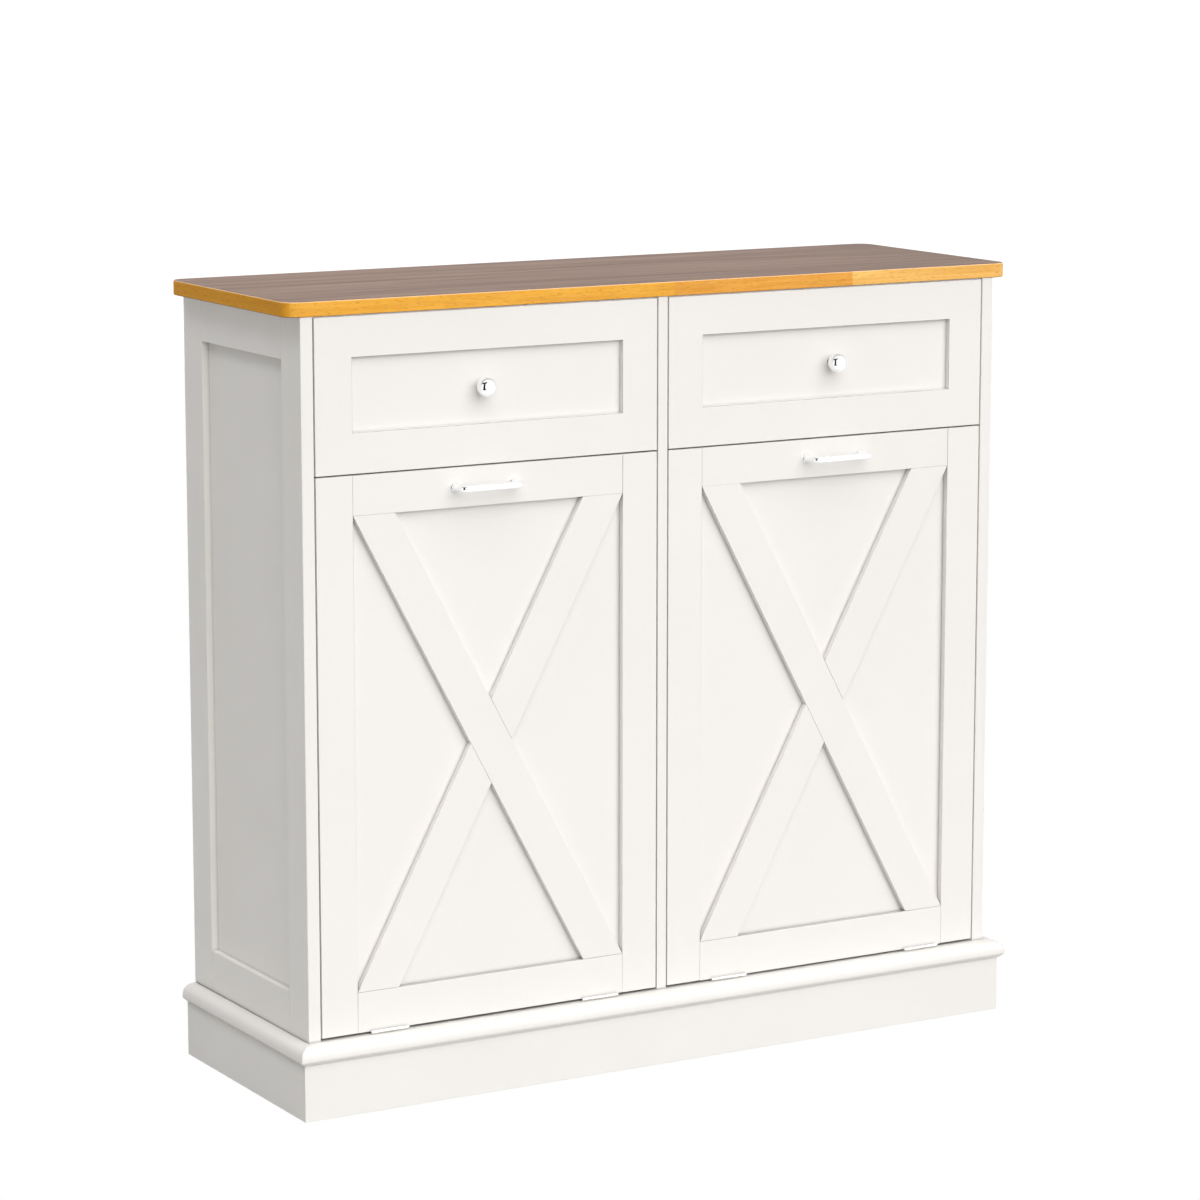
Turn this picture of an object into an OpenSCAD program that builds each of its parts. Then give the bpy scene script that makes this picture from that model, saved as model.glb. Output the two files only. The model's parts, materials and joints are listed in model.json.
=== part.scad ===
// Tilt-out trash cabinet: two drawers over two tilt-out doors that carry bin cradles.
// Millimetres, +Z up, fronts face -Y, origin on the floor under the middle of the whole object.

/* [Carcass] */
// Width over the two side frames
body_w = 980; // [900:10:1100]
// Depth from the front edges of the side frames to the back
body_d = 326; // [312:2:380]
// Height from the floor to the underside of the worktop
body_h = 962; // [930:2:1000]
// Thickness of the side frames
side_t = 16; // [15:1:19]
// Thickness of the divider between the two bays
divider_t = 13; // [11:1:18]
// Thickness of the bottom panel and of the hidden rails
board_t = 16; // [12:1:19]
// Thickness of the hardboard back
back_t = 5; // [3:0.5:6]
// Width of the hidden rails that run across the bays
rail_w = 60; // [45:5:80]
// Clear space between the fronts and the hidden rails
rail_gap = 4; // [2:1:8]
// How far the hidden middle rail reaches up behind the drawer fronts
mid_rail_lap = 4; // [2:1:8]

/* [Side frames] */
// Width of the upright stiles
side_stile_w = 52; // [44:1:60]
// How much of the bottom rail shows above the base moulding
side_rail_show = 51; // [40:0.5:80]
// Height of the side frames' top rail
side_top_rail_h = 54; // [44:1:60]
// Height of the bottom rail's lower edge above the floor
side_rail_z = 40; // [20:1:60]
// Depth of the recess in the side frames
side_recess = 9; // [6:0.5:12]
// How far the panels are let into the frames round them
panel_in = 8; // [4:1:10]

/* [Worktop] */
// Thickness of the worktop
top_t = 18; // [15:1:30]
// Overhang of the worktop beyond each side frame
top_over_side = 20; // [5:1:30]
// Overhang of the worktop beyond the fronts
top_over_front = 7.5; // [2:0.5:15]
// Radius of the worktop's corners in plan
top_corner_r = 20; // [5:1:40]

/* [Base] */
// Height of the plinth boards
plinth_h = 69; // [60:0.5:90]
// Thickness of the plinth boards, which stand outside the body
plinth_t = 13.5; // [10:0.5:18]
// Height of the moulding that caps the plinth
cap_h = 23.5; // [18:0.5:30]
// How far the moulding's nose stands out from the body
cap_out = 20; // [19:0.5:26]
// Height of the moulding's nose above the plinth
cap_nose_h = 6.5; // [4:0.5:8]
// Fullness of the moulding's swell, where 2 is a quarter of an ellipse
cap_swell = 2.8; // [2:0.1:3]
// Height of the bevel under the moulding's nose
cap_lip_h = 1.4; // [1:0.1:2]
// Depth of the bevel under the moulding's nose
cap_lip_d = 0.6; // [0.4:0.1:1.2]
// Width of the groove where the moulding's top meets the body
cap_groove_w = 1.2; // [0.6:0.1:2]
// Depth of that groove
cap_groove_h = 1.5; // [0.6:0.1:3]
// How much further the base stands out at the front than at the sides
base_ahead = 2; // [0.5:0.5:6]
// How much shorter the base's sides are than the body, at the back
base_short = 4.5; // [1:0.5:10]

/* [Fronts] */
// Gap round the drawer fronts and beside the doors
reveal = 2; // [1.5:0.5:3]
// Thickness of the door frames and drawer fronts
front_t = 16; // [15:1:20]
// Height of a drawer front
drawer_front_h = 186; // [175:1:200]
// Border of the drawer front round its recess
drawer_border = 48.5; // [30:0.5:60]
// Depth of the recess in the drawer fronts
drawer_recess = 7; // [4:0.5:9]
// Gap under the doors, in which the hinges sit
hinge_gap = 3; // [2.5:0.5:5]
// Width of the door stiles and height of the top rail
door_stile_w = 48; // [40:1:60]
// Height of the door's bottom rail
door_rail_h = 50; // [40:1:60]
// Depth of the recess in the doors
door_recess = 9; // [6:0.5:10]
// Thickness of the door panels
panel_t = 5; // [4:0.5:5]
// Width of the cross braces, measured along the rails
brace_span = 56; // [35:1:70]

/* [Knobs and pulls] */
// Distance of each knob and pull from the middle of its bay, away from the divider
handle_shift = 8.75; // [0:0.25:10]
// Diameter of the knob's ball
knob_d = 24; // [20:1:32]
// Diameter of the knob's foot
knob_foot_d = 11; // [10:0.5:16]
// Height of the knob's foot at its rim
knob_rim_h = 1.2; // [0.8:0.1:2]
// Height of the knob's foot at the neck
knob_foot_h = 2.6; // [2:0.1:4]
// Length of the knob's neck between its foot and the ball
knob_neck_l = 1.5; // [0.5:0.5:4]
// Diameter of the knob's neck
knob_neck_d = 8; // [7:0.5:9.5]
// Distance between the two screws of a pull
pull_centres = 80; // [64:1:96]
// Diameter of the pull's bar
pull_d = 8.5; // [7:0.5:12]
// Distance from the door to the front of the pull
pull_out = 29; // [24:1:32]
// Radius of the pull's bends, at the middle of the bar
pull_bend_r = 11; // [8:0.5:14]
// Diameter of the pull's feet
pull_foot_d = 11; // [9:0.5:14]
// Thickness of the pull's feet
pull_foot_t = 1.5; // [1:0.5:3]
// Diameter of the machine screws in knobs and pulls
handle_screw_d = 4; // [3:0.5:5]
// Thickness of those screws' heads
handle_head_t = 2.5; // [2:0.5:3]
// How far a screw goes into a knob
knob_screw_in = 8; // [6:1:12]
// How far a screw goes into a pull
pull_screw_in = 10; // [6:1:12]

/* [Drawer boxes] */
// Height of the drawer sides
box_h = 128; // [90:1:135]
// Thickness of the drawer sides and back
box_t = 12; // [10:1:14]
// Thickness of the drawer bottom
box_bottom_t = 4; // [3:0.5:6]
// Height of the drawer bottom above the lower edges of the sides
box_bottom_z = 6; // [4:1:10]
// Clear space between the hidden middle rail and the drawer box
box_lift = 10; // [6:1:16]
// Clear space behind the drawer boxes
box_back_gap = 23; // [20:1:40]
// How far a drawer opens
drawer_travel = 190; // [150:5:200]

/* [Drawer slides] */
// Length of the slides
slide_l = 250; // [240:5:270]
// Height of the outer channel
slide_h = 35; // [32:1:46]
// Total thickness of a slide
slide_t = 12.5; // [12:0.1:13]
// Sheet thickness of the channels
slide_sheet = 1.2; // [1:0.1:1.4]
// Diameter of the balls
ball_d = 3.8; // [3.5:0.1:4]
// Length of a ball cage
cage_l = 56; // [40:1:58]
// Sheet thickness of the ball cages
cage_t = 0.8; // [0.6:0.1:1]
// Depth of a ball cage, measured from the board towards the drawer
cage_d = 6.4; // [5.6:0.1:6.4]
// Number of balls in each row
ball_count = 4; // [3:1:5]

/* [Door hinges] */
// Length of a hinge
hinge_l = 51; // [40:1:64]
// Distance from a door's left edge to the middle of its left hinge
hinge_in_left = 89; // [60:1:120]
// Distance from a door's right edge to the middle of its right hinge
hinge_in_right = 82; // [60:1:120]
// Diameter of the hinge knuckles
knuckle_d = 4.4; // [4:0.2:5]
// Diameter of the hinge pins
pin_d = 2.4; // [2:0.1:2.6]
// Thickness of the hinge leaves
leaf_t = 1; // [0.8:0.1:1.1]
// Depth of the hinge leaves
leaf_d = 14; // [11:1:15]
// Distance of the hinge screws behind the front faces
hinge_screw_y = 8.4; // [7:0.1:9]
// How far a door tilts out, in degrees
door_tilt = 38; // [20:1:40]

/* [Bin cradles] */
// Clear space between the cradle's quarter-round sides and the back panel
cradle_back_gap = 28.5; // [24:0.5:45]
// Thickness of the cradle boards
cradle_t = 12; // [10:1:16]
// Clearance between the cradle sides and the door's edges
cradle_in = 2; // [1:0.5:4]
// Height of the cradle above the bottom panel
cradle_lift = 5; // [4:0.5:10]
// How far the cradle floor stops short of the quarter-round sides
cradle_floor_in = 12.5; // [8:0.5:30]
// Height of the cradle's back board above its floor
cradle_back_h = 60; // [40:1:65]
// Diameter of the pegs that stop the doors
peg_d = 10; // [8:1:12]
// How far a peg stands into the bay
peg_out = 18; // [16:1:20]
// Distance of the pegs behind the front faces
peg_y = 38; // [34:1:42]
// How far the stop ear stands out of the quarter round
ear_out = 14; // [12:1:16]
// Angle that the stop ear spans about the hinge pins
ear_span = 6; // [4:1:10]

/* [Catches and screws] */
// Width of a magnetic catch
catch_w = 40; // [30:1:44]
// Height of a magnetic catch
catch_h = 14; // [10:1:16]
// Depth of a magnetic catch
catch_d = 22; // [16:1:28]
// Thickness of the strike plates on the doors
strike_t = 1; // [0.8:0.1:1.5]
// Width of the strike plates
strike_w = 26; // [20:1:30]
// Diameter of the worktop screws
top_screw_d = 4; // [3:0.5:5]
// How far the worktop screws go into the worktop
top_screw_in = 11.7; // [8:0.1:13]
// Diameter of the back panel screws
back_screw_d = 3; // [2:0.5:3.5]
// How far the back panel screws go into the boards behind the panel
back_screw_in = 14; // [10:1:20]
// Number of screws in each row up the back
back_screw_count = 5; // [4:1:8]
// Height of the lowest back panel screws above the bottom panel
back_screw_low = 20; // [15:1:40]
// Distance of the highest back panel screws below the worktop
back_screw_high = 30; // [20:1:40]
// Diameter of the hinge screws
hinge_screw_d = 2.6; // [2:0.2:3]
// Length of the hinge screws
hinge_screw_l = 11; // [8:1:12]

/* [Hidden] */

$fn = 64;
left = -1;
right = 1;
eps = 0.01; // overshoot of a cutting shape past the face it opens
bore_gap = 0.1; // play round a screw in its hole
pin_play = 0.05; // play of a hinge pin in the moving knuckles
pin_seat = 0.02; // play of a hinge pin in the fixed knuckles
joint_line = 0.1; // joint between two boards that share a node
run_gap = 0.3; // play between pieces that pass close to each other
ball_play = 0.25; // play of a ball between the cage's channels
pocket_play = 0.2; // play of a ball in its pocket
channel_gap = 2; // space between the outer channel and the drawer
cage_gap = 0.6; // space between the outer channel's web and the cage
cage_run = 0.9; // space between the cage's web and the inner channel
cage_end = 5; // distance of the end balls from the ends of the cage
leaf_gap = 0.6; // space between a knuckle and the leaf beside it
slide_gap = 2; // space between the fronts and the slides
plate_gap = 1; // space between the middle rail and the strike plates
head_ratio = 2; // width of a countersunk head in screw diameters
hinge_head_ratio = 1.8; // the same for the small hinge screws
knuckles = 3; // knuckles on a hinge, of which the middle one is on the door

paint = [0.955, 0.945, 0.925];
honey_wood = [0.80, 0.62, 0.42];
pale_wood = [0.86, 0.76, 0.62];
hardboard = [0.72, 0.62, 0.50];
chrome = [0.85, 0.86, 0.88];
zinc = [0.68, 0.69, 0.71];

// The front faces lie in one plane, placed so that the whole object is centred front to back
front_y = -(body_d - pull_out) / 2;
half_w = body_w / 2;
bay_out = half_w - side_t;
bay_in = divider_t / 2;
bay_w = bay_out - bay_in;
bay_mid = (bay_out + bay_in) / 2;
front_w = bay_w - 2 * reveal;
base_top = plinth_h + cap_h;
back_y = body_d - back_t;
rail_y = front_t + rail_gap;

drawer_z = body_h - reveal - drawer_front_h;
door_z = base_top + hinge_gap;
door_h = drawer_z - reveal - door_z;
mid_rail_top = drawer_z + mid_rail_lap;
mid_rail_z = mid_rail_top - board_t;
knob_z = drawer_z + drawer_front_h / 2;
pull_z = door_z + door_h - door_stile_w / 2;
handle_x = bay_mid + handle_shift;

box_z = mid_rail_top + box_lift;
slide_z = box_z + box_h / 2;
slide_y = front_t + slide_gap;
box_end = back_y - box_back_gap;
box_half = bay_w / 2 - slide_t;

knuckle_r = knuckle_d / 2;
pin_y = -(knuckle_r + run_gap);
pin_z = base_top + run_gap + knuckle_r;
hinge_xs = [hinge_in_left - front_w / 2, front_w / 2 - hinge_in_right];
cradle_z = base_top + cradle_lift;
cradle_r = back_y - pin_y - cradle_back_gap;
cradle_end = pin_y + cradle_r - cradle_floor_in;
peg_r = cradle_r + ear_out - peg_d / 2; // distance of the peg's axis from the hinge pin

// Moves what is drawn with y = 0 on the front faces to its place in the part's frame
module from_front() translate([0, front_y, 0]) children();

// Draws the right-hand piece, or its mirror image on the left
module on_side(side) mirror([side == left ? 1 : 0, 0, 0]) children();

// Moves what is drawn about the middle of a bay to the left or the right bay
module in_bay(side) translate([side * bay_mid, 0, 0]) children();

// Stands a drawing in x and z upright, from y0 backwards for the thickness t
module upright(y0, t) translate([0, y0 + t, 0]) rotate([90, 0, 0]) linear_extrude(t) children();

// Stands a drawing in y and z sideways, from x0 to the right for the thickness t
module sideways(x0, t) translate([x0, 0, 0]) rotate([90, 0, 90]) linear_extrude(t) children();

// A box from its lowest to its highest corner
module block(low, high) translate(low) cube(high - low);

// A round bar from y0 backwards
module bar_y(x, y0, z, d, length) translate([x, y0 + length, z]) rotate([90, 0, 0]) cylinder(d = d, h = length);

// A round bar from x0 to the right
module bar_x(x0, y, z, d, length) translate([x0, y, z]) rotate([0, 90, 0]) cylinder(d = d, h = length);

// A countersunk head, or its hole, that narrows upwards to the screw's own diameter
module screw_head(d, ratio, height, play) cylinder(d1 = ratio * d + 2 * play, d2 = d + 2 * play, h = height);

// Worktop
module top_plan() {
    x1 = half_w + top_over_side;
    y0 = -top_over_front;
    r = top_corner_r;
    translate([-x1 + r, y0]) square([2 * (x1 - r), body_d - y0]);
    translate([-x1, y0 + r]) square([2 * x1, body_d - y0 - 2 * r]);
    for (x = [-x1 + r, x1 - r], y = [y0 + r, body_d - r])
        translate([x, y]) circle(r);
}

module worktop() color(honey_wood) from_front() difference() {
    translate([0, 0, body_h]) linear_extrude(top_t) top_plan();
    worktop_screw_set(bore_gap);
}

// Countersunk screws up through the hidden top rails
module worktop_screw_set(play) {
    for (side = [left, right], along = [-1, 1], y = [rail_y + rail_w / 2, back_y - rail_w / 2])
        translate([side * bay_mid + along * bay_w / 4, y, body_h - board_t]) {
            cylinder(d = top_screw_d + 2 * play, h = board_t + top_screw_in + play);
            screw_head(top_screw_d, head_ratio, top_screw_d / 2, play);
        }
}

module worktop_screws() color(zinc) from_front() worktop_screw_set(0);

// Side frames: two stiles, two rails and a thin panel let in from the inside
module side_panel_blank() block(
    [bay_out, side_stile_w - panel_in, base_top + side_rail_show - panel_in],
    [half_w - side_recess, body_d - side_stile_w + panel_in, body_h - side_top_rail_h + panel_in]);

module side_stiles(side) color(paint) from_front() on_side(side) difference() {
    for (y = [0, body_d - side_stile_w])
        block([bay_out, y, 0], [half_w, y + side_stile_w, body_h]);
    side_panel_blank();
    back_panel_blank();
    back_screw_set(bore_gap);
    peg_hole(bay_out);
}

module side_rails(side) color(paint) from_front() on_side(side) difference() {
    union() {
        block([bay_out, side_stile_w, side_rail_z],
              [half_w, body_d - side_stile_w, base_top + side_rail_show]);
        block([bay_out, side_stile_w, body_h - side_top_rail_h],
              [half_w, body_d - side_stile_w, body_h]);
    }
    side_panel_blank();
}

module side_panel(side) color(paint) from_front() on_side(side) side_panel_blank();

module left_side_stiles() side_stiles(left);
module right_side_stiles() side_stiles(right);
module left_side_rails() side_rails(left);
module right_side_rails() side_rails(right);
module left_side_panel() side_panel(left);
module right_side_panel() side_panel(right);

// Boards inside the body
module centre_divider() color(paint) from_front() difference() {
    block([-bay_in, 0, base_top], [bay_in, back_y, body_h]);
    back_screw_set(bore_gap);
    bar_x(-body_w / 2, peg_y, peg_z, peg_d + 2 * bore_gap, body_w);
}

module bottom_panel() color(paint) from_front() difference() {
    block([-bay_out, 0, base_top - board_t], [bay_out, back_y, base_top]);
    for (side = [left, right]) in_bay(side) base_hinge_screws(bore_gap);
}

module cross_rails() color(pale_wood) from_front() for (side = [left, right]) on_side(side) difference() {
    union() {
        block([bay_in, rail_y, body_h - board_t], [bay_out, rail_y + rail_w, body_h]);
        block([bay_in, back_y - rail_w, body_h - board_t], [bay_out, back_y, body_h]);
        block([bay_in, rail_y, mid_rail_z], [bay_out, rail_y + rail_w, mid_rail_top]);
    }
    worktop_screw_set(bore_gap);
}

module base_rails() color(pale_wood) from_front() for (y = [0, back_y - board_t])
    block([-bay_out, y, 0], [bay_out, y + board_t, base_top - board_t]);

// Three-cornered glue blocks between the base rails and the side frames
module corner_blocks() color(pale_wood) from_front() {
    leg = side_stile_w - board_t;
    low = base_top - board_t - leg;
    for (side = [left, right]) on_side(side) translate([bay_out, 0, low]) {
        translate([0, board_t, 0]) linear_extrude(leg) polygon([[0, 0], [-leg, 0], [0, leg]]);
        translate([0, back_y - board_t, 0]) linear_extrude(leg) polygon([[0, 0], [-leg, 0], [0, -leg]]);
    }
}

// Back panel, let into the side frames and screwed on
module back_panel_blank() block(
    [-bay_out - panel_in, back_y, base_top - board_t],
    [bay_out + panel_in, body_d, body_h]);

module back_screw_set(play) {
    low = base_top + back_screw_low;
    step = (body_h - back_screw_high - low) / (back_screw_count - 1);
    for (x = [-bay_out - panel_in / 2, 0, bay_out + panel_in / 2], i = [0 : back_screw_count - 1])
        translate([x, body_d, low + i * step]) rotate([90, 0, 0]) {
            cylinder(d = back_screw_d + 2 * play, h = back_t + back_screw_in + play);
            screw_head(back_screw_d, head_ratio, back_screw_d / 2, play);
        }
}

module back_panel() color(hardboard) from_front() difference() {
    back_panel_blank();
    back_screw_set(bore_gap);
}

module back_screws() color(zinc) from_front() back_screw_set(0);

// Base: plinth boards outside the body and the moulding on top of them, mitred at the front
module front_mitre_plan(out) polygon([
    [-half_w - out, -base_ahead - out], [half_w + out, -base_ahead - out],
    [half_w, -base_ahead], [half_w, 0], [-half_w, 0], [-half_w, -base_ahead]]);

module side_mitre_plan(out) polygon([
    [half_w, -base_ahead], [half_w + out, -base_ahead - out],
    [half_w + out, body_d - base_short], [half_w, body_d - base_short]]);

module plinth_front() color(paint) from_front() linear_extrude(plinth_h) front_mitre_plan(plinth_t);

module plinth_side(side) color(paint) from_front() on_side(side)
    linear_extrude(plinth_h) side_mitre_plan(plinth_t);

module plinth_left() plinth_side(left);
module plinth_right() plinth_side(right);

// Section of the moulding: a groove against the body, a swelling top that falls to the nose, and a
// bevel back to the plinth. The first value is the distance out of the body and the second is the
// height; ahead is how much further out this length of moulding stands.
function cap_section(ahead) =
    let (nose_z = plinth_h + cap_nose_h, rise = cap_h - cap_nose_h, swell = 2 / cap_swell)
    concat(
        [[0, plinth_h + cap_h - cap_groove_h], [cap_groove_w, plinth_h + cap_h]],
        [for (a = [82.5 : -7.5 : 0])
            [ahead + cap_out * pow(cos(a), swell), nose_z + rise * pow(sin(a), swell)]],
        [[ahead + cap_out - cap_lip_d, nose_z - cap_lip_h], [ahead + plinth_t, plinth_h], [0, plinth_h]]);

module plinth_cap_front() color(paint) from_front() intersection() {
    sideways(-half_w - cap_out, body_w + 2 * cap_out)
        polygon([for (p = cap_section(base_ahead)) [-p[0], p[1]]]);
    translate([0, 0, plinth_h - eps]) linear_extrude(cap_h + 2 * eps) front_mitre_plan(cap_out);
}

module plinth_cap_side(side) color(paint) from_front() on_side(side) intersection() {
    upright(-base_ahead - cap_out, body_d + base_ahead + cap_out)
        translate([half_w, 0]) polygon(cap_section(0));
    translate([0, 0, plinth_h - eps]) linear_extrude(cap_h + 2 * eps) side_mitre_plan(cap_out);
}

module plinth_cap_left() plinth_cap_side(left);
module plinth_cap_right() plinth_cap_side(right);

// Drawers
module knob_screw(side, play) {
    grip = knob_screw_in + play;
    bar_y(side * handle_x, drawer_recess - grip, knob_z, handle_screw_d + 2 * play, front_t - drawer_recess + grip);
    bar_y(side * handle_x, front_t, knob_z, head_ratio * handle_screw_d, handle_head_t);
}

module drawer_front(side) color(paint) from_front() difference() {
    in_bay(side) difference() {
        block([-front_w / 2, 0, drawer_z], [front_w / 2, front_t, drawer_z + drawer_front_h]);
        block([drawer_border - front_w / 2, -eps, drawer_z + drawer_border],
              [front_w / 2 - drawer_border, drawer_recess, drawer_z + drawer_front_h - drawer_border]);
    }
    knob_screw(side, bore_gap);
}

module drawer_bottom_blank() block(
    [-box_half + box_t / 2, front_t, box_z + box_bottom_z],
    [box_half - box_t / 2, box_end - box_t / 2, box_z + box_bottom_z + box_bottom_t]);

module drawer_sides(side) color(pale_wood) from_front() in_bay(side) difference() {
    for (x = [-box_half, box_half - box_t])
        block([x, front_t, box_z], [x + box_t, box_end, box_z + box_h]);
    drawer_bottom_blank();
}

module drawer_back(side) color(pale_wood) from_front() in_bay(side) difference() {
    block([-box_half + box_t, box_end - box_t, box_z],
          [box_half - box_t, box_end, box_z + box_h]);
    drawer_bottom_blank();
}

module drawer_bottom(side) color(hardboard) from_front() in_bay(side) drawer_bottom_blank();

// Turned knob on a machine screw from inside the drawer: a foot, a short neck and a ball, whose
// section starts where the neck meets it
function knob_section() = let (
        radius = knob_d / 2,
        turn = acos(knob_neck_d / knob_d),
        middle = knob_foot_h + knob_neck_l + radius * sin(turn))
    concat(
        [[0, 0], [knob_foot_d / 2, 0], [knob_foot_d / 2, knob_rim_h], [knob_neck_d / 2, knob_foot_h]],
        [for (i = [-8 : -1]) [radius * cos(turn * i / 8), middle + radius * sin(turn * i / 8)]],
        [for (i = [0 : 10]) [radius * cos(9 * i), middle + radius * sin(9 * i)]]);

module knob(side) color(chrome) from_front() {
    difference() {
        translate([side * handle_x, drawer_recess, knob_z]) rotate([90, 0, 0])
            rotate_extrude() polygon(knob_section());
        knob_screw(side, bore_gap);
    }
    knob_screw(side, 0);
}

// Drawer slides: outer channel on the cabinet, inner channel on the drawer, balls in a cage between.
// Each section is drawn with x from the cabinet's board towards the drawer and z about the middle.
slide_balls = slide_h / 2 - slide_sheet - ball_d / 2 - ball_play;
inner_h = 2 * (slide_balls - ball_d / 2 - ball_play);
cage_x = slide_sheet + cage_gap;
cage_half = slide_balls + cage_t / 2;

module channel(x0, x1, web_x, height) {
    translate([web_x, -height / 2]) square([slide_sheet, height]);
    for (z = [-height / 2, height / 2 - slide_sheet])
        translate([x0, z]) square([x1 - x0, slide_sheet]);
}

module outer_section() channel(0, slide_t - channel_gap, 0, slide_h);
module inner_section() channel(cage_x + cage_t + cage_run, slide_t, slide_t - slide_sheet, inner_h);

module cage_section() {
    translate([cage_x, -cage_half]) square([cage_t, 2 * cage_half]);
    for (z = [-cage_half, cage_half - cage_t])
        translate([cage_x, z]) square([cage_d, cage_t]);
}

// Places a slide section on both boards of a bay
module slide_pair(side, y0, length) for (turn = [left, right])
    in_bay(side) mirror([turn == left ? 0 : 1, 0, 0])
        translate([-bay_w / 2, 0, slide_z]) upright(y0, length) children();

module slide_outers() color(zinc) from_front() for (side = [left, right])
    slide_pair(side, slide_y, slide_l) outer_section();

module slide_inners(side) color(zinc) from_front() slide_pair(side, slide_y, slide_l) inner_section();

// The cages travel half as far as the drawer, and then lie just inside the slides' front ends
cage_y = slide_y + drawer_travel / 2 + cage_t;
ball_x = bay_w / 2 - cage_x - (cage_t + cage_d) / 2;

module ball_rows(side, d) {
    step = (cage_l - 2 * cage_end) / (ball_count - 1);
    for (turn = [left, right], up = [-1, 1], i = [0 : ball_count - 1])
        in_bay(side) translate([turn * ball_x, cage_y + cage_end + i * step, slide_z + up * slide_balls])
            sphere(d = d);
}

module ball_cages(side) color(zinc) from_front() {
    difference() {
        slide_pair(side, cage_y, cage_l) cage_section();
        ball_rows(side, ball_d + 2 * pocket_play);
    }
    ball_rows(side, ball_d);
}

module left_drawer_front() drawer_front(left);
module right_drawer_front() drawer_front(right);
module left_drawer_sides() drawer_sides(left);
module right_drawer_sides() drawer_sides(right);
module left_drawer_back() drawer_back(left);
module right_drawer_back() drawer_back(right);
module left_drawer_bottom() drawer_bottom(left);
module right_drawer_bottom() drawer_bottom(right);
module left_knob() knob(left);
module right_knob() knob(right);
module left_slide_inners() slide_inners(left);
module right_slide_inners() slide_inners(right);
module left_ball_cages() ball_cages(left);
module right_ball_cages() ball_cages(right);

// Doors: drawn about the middle of the bay, with a panel let into the frame and braces on it
stile_in = front_w / 2 - door_stile_w;
recess_z0 = door_z + door_rail_h;
recess_z1 = door_z + door_h - door_stile_w;

module door_panel_blank() block(
    [-stile_in - panel_in, door_recess, recess_z0 - panel_in],
    [stile_in + panel_in, door_recess + panel_t, recess_z1 + panel_in]);

module door_stiles(side) color(paint) from_front() in_bay(side) difference() {
    for (x = [-front_w / 2, stile_in])
        block([x, 0, door_z], [x + door_stile_w, front_t, door_z + door_h]);
    door_panel_blank();
    door_hinge_screws(bore_gap);
}

module door_rails(side) color(paint) from_front() difference() {
    in_bay(side) difference() {
        union() {
            block([-stile_in, 0, door_z], [stile_in, front_t, recess_z0]);
            block([-stile_in, 0, recess_z1], [stile_in, front_t, door_z + door_h]);
        }
        door_panel_blank();
        door_hinge_screws(bore_gap);
    }
    pull_screws(side, bore_gap);
}

module door_panel(side) color(paint) from_front() in_bay(side) door_panel_blank();

// A brace from one corner of the recess to the other; lean is 1 from top left and -1 from top right
module brace_plan(lean) polygon([
    [-lean * stile_in, recess_z1], [lean * (brace_span - stile_in), recess_z1],
    [lean * stile_in, recess_z0], [lean * (stile_in - brace_span), recess_z0]]);

module long_brace(side) color(paint) from_front() in_bay(side) upright(0, door_recess) brace_plan(1);

module cut_brace(side) color(paint) from_front() in_bay(side) upright(0, door_recess) difference() {
    brace_plan(-1);
    brace_plan(1);
}

// Pulls: a round bar on two legs, fixed with machine screws from behind
module pull_screws(side, play) for (x = [-pull_centres / 2, pull_centres / 2]) {
    grip = pull_screw_in + play;
    bar_y(side * handle_x + x, -grip, pull_z, handle_screw_d + 2 * play, front_t + grip);
    bar_y(side * handle_x + x, front_t, pull_z, head_ratio * handle_screw_d, handle_head_t);
}

module pull_body() {
    leg_l = pull_out - pull_d / 2 - pull_bend_r;
    reach = pull_centres / 2;
    bar_x(-reach + pull_bend_r, -leg_l - pull_bend_r, 0, pull_d, 2 * (reach - pull_bend_r));
    for (turn = [left, right]) mirror([turn == left ? 1 : 0, 0, 0]) {
        bar_y(reach, -leg_l, 0, pull_d, leg_l);
        bar_y(reach, -pull_foot_t, 0, pull_foot_d, pull_foot_t);
        translate([reach - pull_bend_r, -leg_l, 0]) rotate([0, 0, -90])
            rotate_extrude(angle = 90) translate([pull_bend_r, 0]) circle(d = pull_d);
    }
}

module pull(side) color(chrome) from_front() {
    difference() {
        translate([side * handle_x, 0, pull_z]) pull_body();
        pull_screws(side, bore_gap);
    }
    pull_screws(side, 0);
}

// Hinges: the outer knuckles are on the cabinet and hold the pin, the middle one is on the door
knuckle_l = hinge_l / knuckles - run_gap;
leaf_y = pin_y + knuckle_r + leaf_gap;

module hinge_screw_set(z, play, points_up) for (x = hinge_xs, dx = [-hinge_l / knuckles, hinge_l / knuckles])
    translate([x + dx, hinge_screw_y, z]) mirror([0, 0, points_up ? 0 : 1]) {
        cylinder(d = hinge_screw_d + 2 * play, h = hinge_screw_l + play);
        screw_head(hinge_screw_d, hinge_head_ratio, leaf_t, play);
    }

module base_hinge_screws(play) hinge_screw_set(base_top + leaf_t, play, false);
module door_hinge_screws(play) hinge_screw_set(door_z - leaf_t, play, true);

module hinge_bases() color(chrome) from_front() for (side = [left, right]) in_bay(side) {
    for (x = hinge_xs) {
        difference() {
            union() {
                block([x - hinge_l / 2, leaf_y, base_top],
                      [x + hinge_l / 2, leaf_d, base_top + leaf_t]);
                for (dx = [-hinge_l / 2, hinge_l / 2 - knuckle_l]) {
                    bar_x(x + dx, pin_y, pin_z, knuckle_d, knuckle_l);
                    block([x + dx, pin_y, base_top], [x + dx + knuckle_l, leaf_d / 2, base_top + leaf_t]);
                }
            }
            bar_x(x - hinge_l, pin_y, pin_z, pin_d + 2 * pin_seat, 2 * hinge_l);
            base_hinge_screws(bore_gap);
        }
        bar_x(x - hinge_l / 2, pin_y, pin_z, pin_d, hinge_l);
    }
    base_hinge_screws(0);
}

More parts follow.
